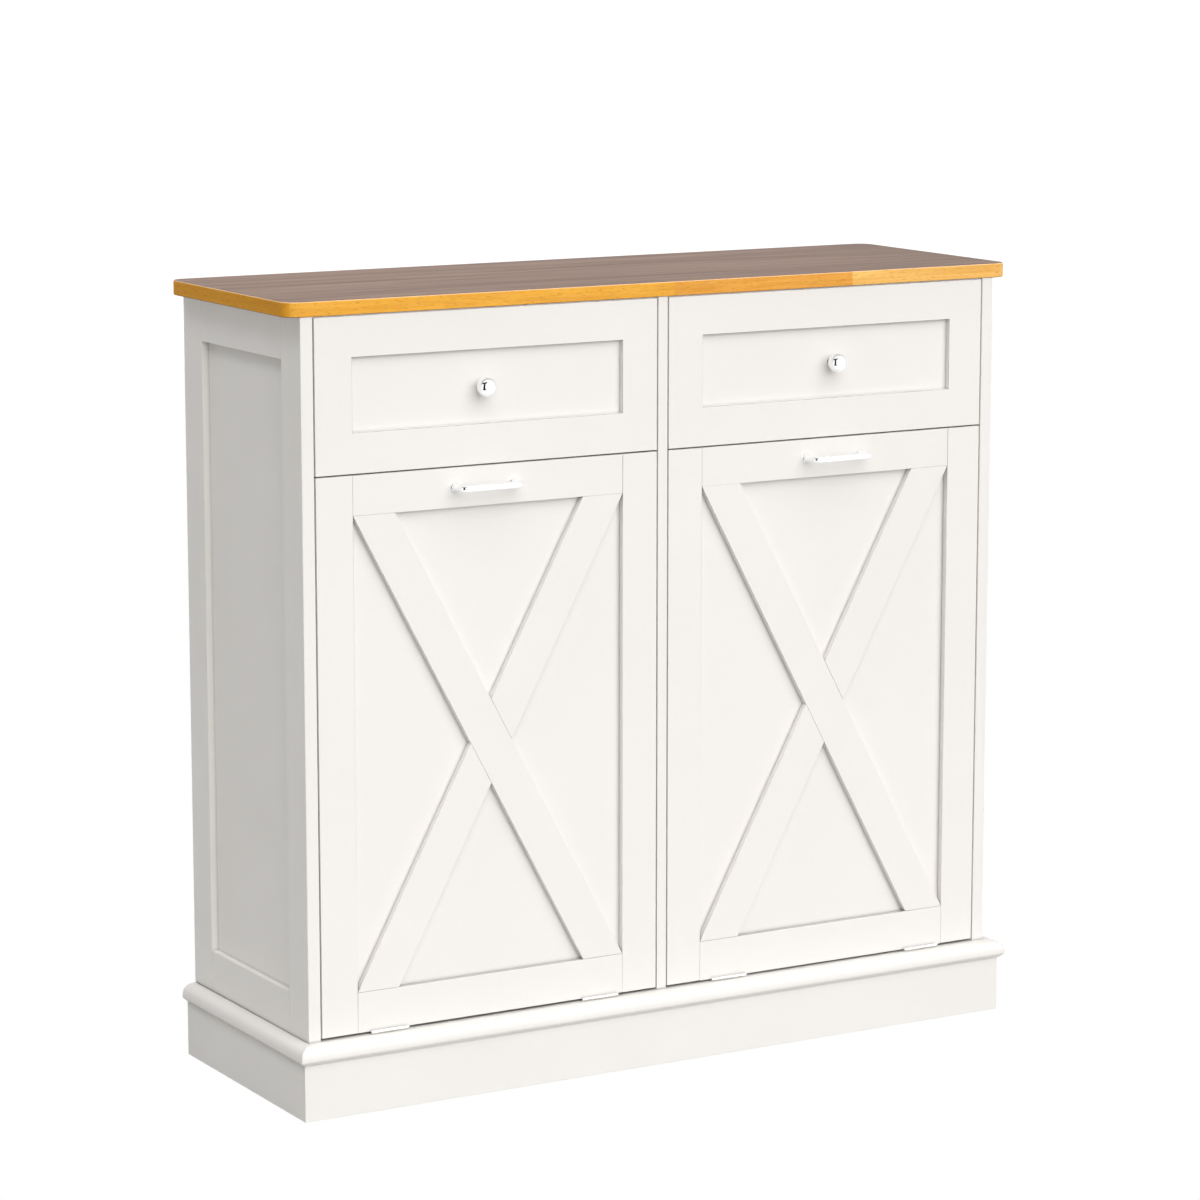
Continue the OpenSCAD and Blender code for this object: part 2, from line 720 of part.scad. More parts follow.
module door_hinges(side) color(chrome) from_front() in_bay(side) {
    for (x = hinge_xs) difference() {
        union() {
            block([x - hinge_l / 2, leaf_y, door_z - leaf_t],
                  [x + hinge_l / 2, leaf_d, door_z]);
            bar_x(x - knuckle_l / 2, pin_y, pin_z, knuckle_d, knuckle_l);
            block([x - knuckle_l / 2, pin_y, door_z - leaf_t], [x + knuckle_l / 2, leaf_d / 2, door_z]);
        }
        bar_x(x - hinge_l, pin_y, pin_z, pin_d + 2 * pin_play, 2 * hinge_l);
        door_hinge_screws(bore_gap);
    }
    door_hinge_screws(0);
}

// Bin cradles: quarter-round sides about the hinge pins, with an ear that meets a peg at full tilt
peg_z = pin_z + sqrt(pow(peg_r, 2) - pow(peg_y - pin_y, 2));

module peg_hole(x0) bar_x(x0 - eps, peg_y, peg_z, peg_d + 2 * bore_gap, side_t / 2 + eps);

module cradle_side_plan() {
    stop = acos((peg_y - pin_y) / peg_r) - asin((peg_d / 2 + run_gap) / peg_r) - door_tilt;
    difference() {
        translate([pin_y, pin_z]) union() {
            circle(cradle_r, $fn = 180);
            polygon([
                [0, 0],
                (cradle_r + ear_out) * [cos(stop - ear_span), sin(stop - ear_span)],
                (cradle_r + ear_out) * [cos(stop), sin(stop)]]);
        }
        translate([front_t - 2 * body_d, -body_h]) square([2 * body_d, 3 * body_h]);
        translate([0, cradle_z - 2 * body_h]) square([2 * body_d, 2 * body_h]);
    }
}

module cradle_sides(side) color(pale_wood) from_front() in_bay(side) {
    reach = front_w / 2 - cradle_in;
    for (x = [-reach, reach - cradle_t])
        sideways(x, cradle_t) cradle_side_plan();
}

module cradle_tray(side) color(pale_wood) from_front() in_bay(side) {
    reach = front_w / 2 - cradle_in - cradle_t;
    block([-reach, front_t, cradle_z], [reach, cradle_end, cradle_z + cradle_t]);
    block([-reach, cradle_end - cradle_t, cradle_z + cradle_t + joint_line],
          [reach, cradle_end, cradle_z + cradle_t + cradle_back_h]);
}

module tilt_stop_pegs() color(pale_wood) from_front() {
    bar_x(-bay_in - peg_out, peg_y, peg_z, peg_d, divider_t + 2 * peg_out);
    for (side = [left, right]) on_side(side)
        bar_x(bay_out - peg_out, peg_y, peg_z, peg_d, peg_out + side_t / 2 - run_gap);
}

// Magnetic catches under the middle rails and the strike plates they hold
catch_y = front_t + strike_t + run_gap;

module door_catches() color(zinc) from_front() for (side = [left, right]) in_bay(side)
    block([-catch_w / 2, catch_y, mid_rail_z - catch_h], [catch_w / 2, catch_y + catch_d, mid_rail_z]);

module strike_plate(side) color(zinc) from_front() in_bay(side)
    block([-strike_w / 2, front_t, mid_rail_z - catch_h],
          [strike_w / 2, front_t + strike_t, mid_rail_z - plate_gap]);

module left_door_stiles() door_stiles(left);
module right_door_stiles() door_stiles(right);
module left_door_rails() door_rails(left);
module right_door_rails() door_rails(right);
module left_door_panel() door_panel(left);
module right_door_panel() door_panel(right);
module left_long_brace() long_brace(left);
module right_long_brace() long_brace(right);
module left_cut_brace() cut_brace(left);
module right_cut_brace() cut_brace(right);
module left_pull() pull(left);
module right_pull() pull(right);
module left_door_hinges() door_hinges(left);
module right_door_hinges() door_hinges(right);
module left_cradle_sides() cradle_sides(left);
module right_cradle_sides() cradle_sides(right);
module left_cradle_tray() cradle_tray(left);
module right_cradle_tray() cradle_tray(right);
module left_strike_plate() strike_plate(left);
module right_strike_plate() strike_plate(right);

worktop();
left_side_stiles();
left_side_rails();
left_side_panel();
right_side_stiles();
right_side_rails();
right_side_panel();
centre_divider();
bottom_panel();
back_panel();
cross_rails();
base_rails();
corner_blocks();
plinth_front();
plinth_left();
plinth_right();
plinth_cap_front();
plinth_cap_left();
plinth_cap_right();
worktop_screws();
back_screws();
slide_outers();
hinge_bases();
door_catches();
tilt_stop_pegs();
left_drawer_front();
left_drawer_sides();
left_drawer_back();
left_drawer_bottom();
left_knob();
left_slide_inners();
left_ball_cages();
right_drawer_front();
right_drawer_sides();
right_drawer_back();
right_drawer_bottom();
right_knob();
right_slide_inners();
right_ball_cages();
left_door_stiles();
left_door_rails();
left_door_panel();
left_long_brace();
left_cut_brace();
left_pull();
left_door_hinges();
left_cradle_sides();
left_cradle_tray();
left_strike_plate();
right_door_stiles();
right_door_rails();
right_door_panel();
right_long_brace();
right_cut_brace();
right_pull();
right_door_hinges();
right_cradle_sides();
right_cradle_tray();
right_strike_plate();
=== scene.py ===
import json
import math

import bmesh
import bpy
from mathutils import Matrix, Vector

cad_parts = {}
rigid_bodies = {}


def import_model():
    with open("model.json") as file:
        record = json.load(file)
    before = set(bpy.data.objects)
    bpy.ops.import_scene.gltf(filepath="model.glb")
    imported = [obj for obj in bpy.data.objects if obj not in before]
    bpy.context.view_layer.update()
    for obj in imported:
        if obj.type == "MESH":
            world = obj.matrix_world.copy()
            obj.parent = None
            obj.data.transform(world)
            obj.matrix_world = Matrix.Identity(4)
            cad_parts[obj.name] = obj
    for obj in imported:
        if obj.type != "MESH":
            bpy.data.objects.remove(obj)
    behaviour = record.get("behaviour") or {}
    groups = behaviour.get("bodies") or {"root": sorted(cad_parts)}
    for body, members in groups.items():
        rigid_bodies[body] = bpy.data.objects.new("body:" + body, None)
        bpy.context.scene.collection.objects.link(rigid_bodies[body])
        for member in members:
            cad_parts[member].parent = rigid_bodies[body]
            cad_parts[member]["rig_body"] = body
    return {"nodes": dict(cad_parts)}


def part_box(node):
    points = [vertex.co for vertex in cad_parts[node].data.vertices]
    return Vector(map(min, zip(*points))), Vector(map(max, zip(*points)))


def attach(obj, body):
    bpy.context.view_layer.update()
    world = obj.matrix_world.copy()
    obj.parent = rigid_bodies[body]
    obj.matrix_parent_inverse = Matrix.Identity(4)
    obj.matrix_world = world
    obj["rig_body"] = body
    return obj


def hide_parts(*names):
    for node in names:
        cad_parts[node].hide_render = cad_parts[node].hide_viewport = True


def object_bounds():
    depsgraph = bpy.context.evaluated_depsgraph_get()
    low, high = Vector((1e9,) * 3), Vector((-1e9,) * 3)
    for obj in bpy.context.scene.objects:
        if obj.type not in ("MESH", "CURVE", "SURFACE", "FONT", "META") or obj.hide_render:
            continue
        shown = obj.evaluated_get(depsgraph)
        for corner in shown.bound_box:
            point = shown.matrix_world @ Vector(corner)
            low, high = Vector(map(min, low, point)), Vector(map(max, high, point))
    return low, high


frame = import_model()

# Tilt-out trash cabinet: the finish of every board and fitting, around the fixed frame. Metres.
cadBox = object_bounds()
mm = 0.001
sides = {"left": -1, "right": 1}
weldGap = 2e-6      # corners nearer than this are one
closeBy = 0.1 * mm  # how far from a plane something may lie and still be on it
square = 0.9        # a face looks along an axis when its normal's share on that axis is above this


# Selecting and editing

def clearSelection():
    if bpy.context.mode != "OBJECT":
        bpy.ops.object.mode_set(mode="OBJECT")
    bpy.ops.object.select_all(action="DESELECT")


def closePiece(piece):
    clearSelection()
    bpy.context.view_layer.objects.active = piece
    piece.select_set(True)


def openPiece(piece):
    closePiece(piece)
    bpy.ops.object.mode_set(mode="EDIT")
    bpy.ops.mesh.select_mode(type="VERT")


def pickAll():
    bpy.ops.mesh.select_all(action="SELECT")


def extrude(x, y, z):
    bpy.ops.mesh.extrude_region_move(TRANSFORM_OT_translate={"value": (x, y, z)})


def bevel(width, steps, **settings):
    bpy.ops.mesh.bevel(offset=width, segments=steps, **settings)


def pick(piece, kind, test):
    # kind is VERT, EDGE or FACE; test says which of them are selected
    bpy.ops.mesh.select_mode(type=kind)
    bpy.ops.mesh.select_all(action="DESELECT")
    mesh = bmesh.from_edit_mesh(piece.data)
    parts = {"VERT": mesh.verts, "EDGE": mesh.edges, "FACE": mesh.faces}[kind]
    for part in parts:
        if test(part):
            part.select_set(True)
    bmesh.update_edit_mesh(piece.data)


def placeNow(piece):
    # the place, turn and size go into the mesh, as in a CAD node
    closePiece(piece)
    bpy.ops.object.transform_apply(location=True, rotation=True, scale=True)


def nameNew(name):
    # the object that was just added
    bpy.context.object.name = name
    return bpy.context.object


def addCube(name, low, high):
    clearSelection()
    low, high = Vector(low), Vector(high)
    bpy.ops.mesh.primitive_cube_add(size=1, location=(low + high) / 2, scale=high - low)
    piece = nameNew(name)
    placeNow(piece)
    return piece


def drawLine(name, points):
    # a line through the points, left open for editing and selected
    clearSelection()
    bpy.ops.mesh.primitive_plane_add(size=mm)
    piece = nameNew(name)
    openPiece(piece)
    pickAll()
    bpy.ops.mesh.merge(type="CENTER")
    bpy.ops.transform.translate(value=points[0])
    for start, end in zip(points, points[1:]):
        extrude(*[b - a for a, b in zip(start, end)])
    pickAll()
    return piece


def copyPiece(piece):
    copy = piece.copy()
    copy.data = piece.data.copy()
    bpy.context.scene.collection.objects.link(copy)
    return copy


def mendShell(piece, gap=weldGap):
    # doubles merged and faces turned outwards
    openPiece(piece)
    pickAll()
    bpy.ops.mesh.remove_doubles(threshold=gap)
    bpy.ops.mesh.normals_make_consistent(inside=False)
    closePiece(piece)


def useModifier(piece, kind, **settings):
    closePiece(piece)
    modifier = piece.modifiers.new(kind.lower(), kind)
    for key, value in settings.items():
        setattr(modifier, key, value)
    bpy.ops.object.modifier_apply(modifier=modifier.name)


def carve(piece, operation, tool):
    useModifier(piece, "BOOLEAN", operation=operation, object=tool, solver="EXACT")
    bpy.data.objects.remove(tool)


def smoothOver(piece, angle=35):
    closePiece(piece)
    bpy.ops.object.shade_smooth_by_angle(angle=math.radians(angle))
    useModifier(piece, "WEIGHTED_NORMAL", keep_sharp=True, weight=60)


def giveMaterials(piece, *materials):
    closePiece(piece)
    piece.data.materials.clear()
    for material in materials:
        piece.data.materials.append(material)


def useSlot(piece, index):
    # the selected faces take the material of this slot
    bpy.ops.mesh.select_mode(type="FACE")
    piece.active_material_index = index
    bpy.ops.object.material_slot_assign()


def repaint(piece, material, test):
    # one more material, for the faces that pass the test
    closePiece(piece)
    piece.data.materials.append(material)
    openPiece(piece)
    pick(piece, "FACE", test)
    useSlot(piece, len(piece.data.materials) - 1)
    closePiece(piece)


def finishPiece(piece, body, slot, material, *nodes):
    # no material means that the piece has its own by now
    if material is not None:
        giveMaterials(piece, material)
    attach(piece, body)
    if nodes:
        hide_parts(*nodes)


def bodyOf(node):
    return frame["nodes"][node]["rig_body"]


# Shader nodes

def feed(tree, socket, value):
    # the value is another node's socket, or a constant
    if isinstance(value, bpy.types.NodeSocket):
        tree.links.new(value, socket)
    else:
        socket.default_value = value


def addNode(tree, kind, settings=None, **sockets):
    node = tree.nodes.new(kind)
    for key, value in (settings or {}).items():
        setattr(node, key, value)
    for key, value in sockets.items():
        feed(tree, node.inputs[key.replace("_", " ")], value)
    return node


def noise(tree, vector, scale, detail=2.0, roughness=0.5, distortion=0.0):
    return addNode(tree, "ShaderNodeTexNoise", Vector=vector, Scale=scale, Detail=detail,
                   Roughness=roughness, Distortion=distortion).outputs[0]


def calc(tree, operation, first, second=0.0):
    node = addNode(tree, "ShaderNodeMath", {"operation": operation})
    for socket, value in zip(node.inputs, (first, second)):
        feed(tree, socket, value)
    return node.outputs[0]


def weighted(tree, first, share, second):
    # the first value has this share of the sum, the second the rest
    return calc(tree, "ADD", calc(tree, "MULTIPLY", first, share), calc(tree, "MULTIPLY", second, 1 - share))


def spread(tree, value, low, high, newLow=0.0, newHigh=1.0):
    return addNode(tree, "ShaderNodeMapRange", Value=value, From_Min=low, From_Max=high, To_Min=newLow,
                   To_Max=newHigh).outputs[0]


def scaled(tree, vector, factors):
    node = addNode(tree, "ShaderNodeVectorMath", {"operation": "MULTIPLY"})
    tree.links.new(vector, node.inputs[0])
    node.inputs[1].default_value = factors
    return node.outputs[0]


def blendColours(tree, factor, first, second):
    node = addNode(tree, "ShaderNodeMix", {"data_type": "RGBA"})
    feed(tree, node.inputs[0], factor)
    for index, colour in ((6, first), (7, second)):  # the colour sockets of this node
        isSocket = isinstance(colour, bpy.types.NodeSocket)
        feed(tree, node.inputs[index], colour if isSocket else (*colour, 1.0))
    return node.outputs[2]


def startGroup(name, inputs, outputs):
    # the inputs come after Vector, each with its usual value
    group = bpy.data.node_groups.new(name, "ShaderNodeTree")
    group.interface.new_socket(name="Vector", in_out="INPUT", socket_type="NodeSocketVector")
    for socketName, value in inputs.items():
        socket = group.interface.new_socket(name=socketName, in_out="INPUT", socket_type="NodeSocketFloat")
        socket.default_value = value
    for socketName in outputs:
        group.interface.new_socket(name=socketName, in_out="OUTPUT", socket_type="NodeSocketFloat")
    return group, group.nodes.new("NodeGroupInput").outputs, group.nodes.new("NodeGroupOutput").inputs


def placeGroup(tree, group, **sockets):
    return addNode(tree, "ShaderNodeGroup", {"node_tree": group}, **sockets).outputs


def openTree(owner, outputKind):
    # an empty tree, and the socket where its result goes
    owner.use_nodes = True
    owner.node_tree.nodes.clear()
    return owner.node_tree, owner.node_tree.nodes.new(outputKind).inputs[0]


def mixShaders(tree, factor, first, second):
    mix = tree.nodes.new("ShaderNodeMixShader")
    for socket, value in zip(mix.inputs, (factor, first, second)):
        feed(tree, socket, value)
    return mix.outputs[0]


def startMaterial(name, shine=None):
    material = bpy.data.materials.new(name)
    tree, surface = openTree(material, "ShaderNodeOutputMaterial")
    shader = tree.nodes.new("ShaderNodeBsdfPrincipled")
    tree.links.new(shader.outputs[0], surface)
    if shine is not None:
        shader.inputs["Specular IOR Level"].default_value = shine
    place = tree.nodes.new("ShaderNodeTexCoord").outputs["Object"]
    return material, tree, shader, place


def finishShader(tree, shader, colour, roughness, height, depth, strength):
    tree.links.new(colour, shader.inputs["Base Color"])
    tree.links.new(roughness, shader.inputs["Roughness"])
    bump = addNode(tree, "ShaderNodeBump", Height=height, Distance=depth, Strength=strength)
    tree.links.new(bump.outputs[0], shader.inputs["Normal"])


# Effects that several materials share

# each noise has its scale, detail, roughness and distortion, as far as they are set; where the material
# gives the scale, the detail comes first. A range is the part of a noise that is drawn out from 0 to 1
skinLook = {"clouds": (5.0, 3.0), "specks": (260.0, 2.0), "cloudShare": 0.7, "toneRange": (0.35, 0.65),
            "patches": (22.0, 2.0), "patchRange": (0.3, 0.7), "stipple": (2.0, 0.6), "waves": (70.0, 1.0),
            "stippleShare": 0.55}


def makePaintSkin():
    # sprayed paint: slow clouds in the tone, fine stipple in the height
    inputs = {"Stipple Scale": 900.0, "Gloss Low": 0.36, "Gloss High": 0.46}
    group, given, out = startGroup("paintSkin", inputs, ["Tone", "Roughness", "Height"])
    clouds = noise(group, given["Vector"], *skinLook["clouds"])
    specks = noise(group, given["Vector"], *skinLook["specks"])
    tone = weighted(group, clouds, skinLook["cloudShare"], specks)
    group.links.new(spread(group, tone, *skinLook["toneRange"]), out["Tone"])
    patches = noise(group, given["Vector"], *skinLook["patches"])
    gloss = spread(group, patches, *skinLook["patchRange"], given["Gloss Low"], given["Gloss High"])
    group.links.new(gloss, out["Roughness"])
    stipple = noise(group, given["Vector"], given["Stipple Scale"], *skinLook["stipple"])
    waves = noise(group, given["Vector"], *skinLook["waves"])
    group.links.new(weighted(group, stipple, skinLook["stippleShare"], waves), out["Height"])
    return group


# the draws stretch fibres and pores along the grain; poreScale is how much finer pores are than fibres
grainLook = {"fibreDraw": (0.05, 1.0, 1.0), "fibre": (4.0, 0.65), "fibreRange": (0.3, 0.7),
             "figure": (3.0, 0.55, 0.6), "figureRange": (0.32, 0.68),
             "poreDraw": (0.12, 1.0, 1.0), "poreScale": 2.2, "poreSoftness": 0.08}


def makeWoodGrain():
    # the grain runs along the X of the vector that comes in
    inputs = {"Fibre Scale": 420.0, "Figure Scale": 30.0, "Pore Cut": 0.62}
    group, given, out = startGroup("woodGrain", inputs, ["Fibre", "Figure", "Pores", "Height"])
    drawn = scaled(group, given["Vector"], grainLook["fibreDraw"])
    dashed = scaled(group, given["Vector"], grainLook["poreDraw"])
    fibre = noise(group, drawn, given["Fibre Scale"], *grainLook["fibre"])
    figure = noise(group, drawn, given["Figure Scale"], *grainLook["figure"])
    pores = noise(group, dashed, calc(group, "MULTIPLY", given["Fibre Scale"], grainLook["poreScale"]))
    fibreTone = spread(group, fibre, *grainLook["fibreRange"])
    poreEnd = calc(group, "ADD", given["Pore Cut"], grainLook["poreSoftness"])
    poreMask = spread(group, pores, given["Pore Cut"], poreEnd)
    group.links.new(fibreTone, out["Fibre"])
    group.links.new(spread(group, figure, *grainLook["figureRange"]), out["Figure"])
    group.links.new(poreMask, out["Pores"])
    group.links.new(calc(group, "SUBTRACT", fibreTone, poreMask), out["Height"])
    return group


polishLook = {"clouds": 120.0, "markDraw": (0.2, 1.0, 1.0), "marks": (3.0, 0.6), "range": (0.3, 0.7)}


def makeMetalPolish():
    # faint wipe marks and a slow change in the gloss
    inputs = {"Mark Scale": 600.0, "Gloss Low": 0.04, "Gloss High": 0.10}
    group, given, out = startGroup("metalPolish", inputs, ["Tone", "Roughness", "Height"])
    clouds = noise(group, given["Vector"], polishLook["clouds"])
    drawn = scaled(group, given["Vector"], polishLook["markDraw"])
    marks = noise(group, drawn, given["Mark Scale"], *polishLook["marks"])
    group.links.new(spread(group, clouds, *polishLook["range"]), out["Tone"])
    gloss = spread(group, marks, *polishLook["range"], given["Gloss Low"], given["Gloss High"])
    group.links.new(gloss, out["Roughness"])
    group.links.new(marks, out["Height"])
    return group


paintSkin = makePaintSkin()
woodGrain = makeWoodGrain()
metalPolish = makeMetalPolish()
print("shared effects made")


# Materials

# the crease colour, its reach and the deepest opening set the painted shade that ambient occlusion lays in
# inner corners
paintLook = {"light": (0.810, 0.790, 0.759), "deep": (0.790, 0.770, 0.738), "stipple": 900.0,
             "glossLow": 0.38, "glossHigh": 0.48, "shine": 0.35, "depth": 0.06 * mm, "bump": 0.10,
             "creaseShade": (0.54, 0.525, 0.50), "creaseReach": 4 * mm, "creaseDeepest": 0.20, "samples": 8}


def placeSkin(tree, place, look):
    return placeGroup(tree, paintSkin, Vector=place, Stipple_Scale=look["stipple"],
                      Gloss_Low=look["glossLow"], Gloss_High=look["glossHigh"])


def placeGrain(tree, place, look):
    return placeGroup(tree, woodGrain, Vector=place, Fibre_Scale=look["fibres"],
                      Figure_Scale=look["figures"], Pore_Cut=look["poreCut"])


def makePaint(name, lightness=1.0, reach=paintLook["creaseReach"], creaseShade=paintLook["creaseShade"]):
    look = paintLook
    material, tree, shader, place = startMaterial(name, look["shine"])
    skin = placeSkin(tree, place, look)
    tones = [[lightness * value for value in look[tone]] for tone in ("deep", "light")]
    colour = blendColours(tree, skin["Tone"], *tones)
    # painted shade: in inner corners and joints, where ambient occlusion finds other faces near, the colour
    # darkens towards the crease colour
    openness = addNode(tree, "ShaderNodeAmbientOcclusion", {"samples": look["samples"]}, Distance=reach)
    clear = spread(tree, openness.outputs["AO"], look["creaseDeepest"], 1.0)
    creased = blendColours(tree, clear, [lightness * value for value in creaseShade], colour)
    finishShader(tree, shader, creased, skin["Roughness"], skin["Height"], look["depth"], look["bump"])
    return material


def layGrain(tree, grain, base, layers):
    # each layer is an output of the grain, the largest share of its colour, and the colour
    colour = base
    for part, share, shade in layers:
        colour = blendColours(tree, calc(tree, "MULTIPLY", grain[part], share), colour, shade)
    return colour


def finishWood(tree, shader, grain, colour, look):
    gloss = spread(tree, grain["Fibre"], 0.0, 1.0, look["glossLow"], look["glossHigh"])
    finishShader(tree, shader, colour, gloss, grain["Height"], look["depth"], look["bump"])


# shade is how much darker the top is from shadeEnd on, along X
topFaceLook = {"stave": (0.285, 0.190, 0.147), "otherStave": (0.210, 0.137, 0.107),
               "joint": (0.15, 0.096, 0.072), "staveLength": 267 * mm, "staveWidth": 42 * mm,
               "jointWidth": 0.5 * mm, "jointBlur": 0.3, "phase": 10 * mm,
               "rows": {"offset": 0.37, "offset_frequency": 2, "squash": 0.8, "squash_frequency": 3},
               "fibres": 150.0, "figures": 48.0, "poreCut": 0.58, "shadeEnd": 0.45, "shade": 0.15,
               "shine": 0.08, "glossLow": 0.50, "glossHigh": 0.62, "depth": 0.08 * mm, "bump": 0.25,
               "layers": (("Fibre", 0.70, (0.450, 0.325, 0.262)), ("Figure", 0.70, (0.145, 0.092, 0.070)),
                          ("Pores", 0.35, (0.17, 0.13, 0.11)))}


def makeTopFace():
    # staves glued side by side, under a matt taupe stain
    look = topFaceLook
    material, tree, shader, place = startMaterial("taupeStaves", look["shine"])
    shifted = addNode(tree, "ShaderNodeMapping", Vector=place,
                      Location=(-look["phase"], look["staveWidth"] / 2, 0.0)).outputs[0]
    bricks = addNode(tree, "ShaderNodeTexBrick", look["rows"], Vector=shifted, Color1=(*look["stave"], 1),
                     Color2=(*look["otherStave"], 1), Mortar=(*look["joint"], 1), Scale=1.0, Bias=0.0,
                     Mortar_Size=look["jointWidth"] / 2, Mortar_Smooth=look["jointBlur"],
                     Brick_Width=look["staveLength"], Row_Height=look["staveWidth"])
    grain = placeGrain(tree, place, look)
    grained = layGrain(tree, grain, bricks.outputs[0], look["layers"])
    # the colour darkens towards the right end
    along = addNode(tree, "ShaderNodeSeparateXYZ", Vector=place).outputs[0]
    deepening = spread(tree, along, 0.0, look["shadeEnd"], 0.0, look["shade"])
    darkenedRight = blendColours(tree, deepening, grained, (0.0, 0.0, 0.0))
    finishWood(tree, shader, grain, darkenedRight, look)
    return material


# how the vector is turned so that the grain runs along each axis
grainTurns = {"X": (0.0, 0.0, 0.0), "Y": (0.0, 0.0, math.radians(90)), "Z": (0.0, math.radians(90), 0.0)}

# staves has the colours of the front row of staves, each from its left end to the next one's, along X
topEdgeLook = {"staves": ((-0.520, (0.83, 0.395, 0.029)), (0.010, (0.76, 0.320, 0.043)),
                          (0.268, (0.93, 0.55, 0.160))),
               "layers": (("Fibre", 0.45, (0.95, 0.56, 0.14)), ("Figure", 0.50, (0.62, 0.25, 0.020)),
                          ("Pores", 0.45, (0.38, 0.15, 0.015))),
               "fibres": 420.0, "figures": 150.0, "poreCut": 0.58,
               "glossLow": 0.34, "glossHigh": 0.46, "depth": 0.06 * mm, "bump": 0.2}


def makeTopEdge(name, share=0.0, towards=(0.0, 0.0, 0.0), axis="X", shine=0.2):
    # clear-finished wood that shows its honey colour, with its grain along one axis; a share of another
    # colour paints a highlight on the arris, and deepens the end grain
    material, tree, shader, place = startMaterial(name, shine)
    along = addNode(tree, "ShaderNodeSeparateXYZ", Vector=place).outputs[0]
    start, end = cadBox[0].x, cadBox[1].x
    ramp = tree.nodes.new("ShaderNodeValToRGB")
    ramp.color_ramp.interpolation = "CONSTANT"
    ramp.color_ramp.elements.remove(ramp.color_ramp.elements[1])
    for index, (x, colour) in enumerate(topEdgeLook["staves"]):
        position = max(0.0, (x - start) / (end - start))
        element = ramp.color_ramp.elements[0] if index == 0 else ramp.color_ramp.elements.new(position)
        element.position = position
        element.color = (*colour, 1)
    tree.links.new(spread(tree, along, start, end), ramp.inputs[0])
    turned = addNode(tree, "ShaderNodeMapping", Vector=place, Rotation=grainTurns[axis]).outputs[0]
    grain = placeGrain(tree, turned, topEdgeLook)
    grained = layGrain(tree, grain, ramp.outputs[0], topEdgeLook["layers"])
    finishWood(tree, shader, grain, blendColours(tree, share, grained, towards), topEdgeLook)
    return material


bareWoodLook = {"early": (0.80, 0.62, 0.40),
                "layers": (("Figure", 0.75, (0.60, 0.40, 0.22)), ("Fibre", 0.25, (0.86, 0.70, 0.48)),
                           ("Pores", 0.40, (0.42, 0.27, 0.15))),
                "fibres": 300.0, "figures": 45.0, "poreCut": 0.66,
                "glossLow": 0.45, "glossHigh": 0.60, "depth": 0.08 * mm, "bump": 0.3}


def makeBareWood(axis):
    # clear-lacquered softwood, with its grain along one axis
    material, tree, shader, place = startMaterial("bareWood" + axis)
    turned = addNode(tree, "ShaderNodeMapping", Vector=place, Rotation=grainTurns[axis]).outputs[0]
    grain = placeGrain(tree, turned, bareWoodLook)
    grained = layGrain(tree, grain, bareWoodLook["early"], bareWoodLook["layers"])
    finishWood(tree, shader, grain, grained, bareWoodLook)
    return material


# flecks has the scale, detail and roughness of their noise
hardboardLook = {"deep": (0.70, 0.66, 0.60), "light": (0.78, 0.745, 0.69), "fleck": (0.55, 0.48, 0.40),
                 "flecks": (700.0, 4.0, 0.7), "fleckRange": (0.56, 0.72), "fleckShare": 0.35,
                 "stipple": 1500.0, "glossLow": 0.5, "glossHigh": 0.62, "depth": 0.08 * mm, "bump": 0.2}


def makeHardboard():
    # smooth pressed fibre under a thin pale coat
    look = hardboardLook
    material, tree, shader, place = startMaterial("paleHardboard")
    skin = placeSkin(tree, place, look)
    fibres = noise(tree, place, *look["flecks"])
    base = blendColours(tree, skin["Tone"], look["deep"], look["light"])
    flecks = spread(tree, fibres, *look["fleckRange"], 0.0, look["fleckShare"])
    flecked = blendColours(tree, flecks, base, look["fleck"])
    finishShader(tree, shader, flecked, skin["Roughness"], skin["Height"], look["depth"], look["bump"])
    return material


metalDepth = 0.02 * mm
metalLooks = {
    "chrome": {"light": (0.975, 0.985, 1.0), "deep": (0.955, 0.968, 0.985), "low": 0.03, "high": 0.05,
               "marks": 500.0, "bump": 0.02},
    "nickel": {"light": (0.90, 0.89, 0.87), "deep": (0.84, 0.83, 0.80), "low": 0.16, "high": 0.28,
               "marks": 700.0, "bump": 0.05},
    "zinc": {"light": (0.70, 0.72, 0.75), "deep": (0.60, 0.62, 0.66), "low": 0.28, "high": 0.42,
             "marks": 900.0, "bump": 0.10}}


def makeMetal(name):
    look = metalLooks[name]
    material, tree, shader, place = startMaterial(name + "Plate")
    polish = placeGroup(tree, metalPolish, Vector=place, Mark_Scale=look["marks"], Gloss_Low=look["low"],
                        Gloss_High=look["high"])
    shader.inputs["Metallic"].default_value = 1.0
    colour = blendColours(tree, polish["Tone"], look["deep"], look["light"])
    finishShader(tree, shader, colour, polish["Roughness"], polish["Height"], metalDepth, look["bump"])
    return material


plasticLook = {"deep": (0.80, 0.80, 0.79), "light": (0.86, 0.86, 0.85), "stipple": 2200.0,
               "glossLow": 0.30, "glossHigh": 0.40, "depth": 0.04 * mm, "bump": 0.15}


def makePlastic():
    # moulded white plastic of the catches
    look = plasticLook
    material, tree, shader, place = startMaterial("whitePlastic")
    skin = placeSkin(tree, place, look)
    colour = blendColours(tree, skin["Tone"], look["deep"], look["light"])
    finishShader(tree, shader, colour, skin["Roughness"], skin["Height"], look["depth"], look["bump"])
    return material


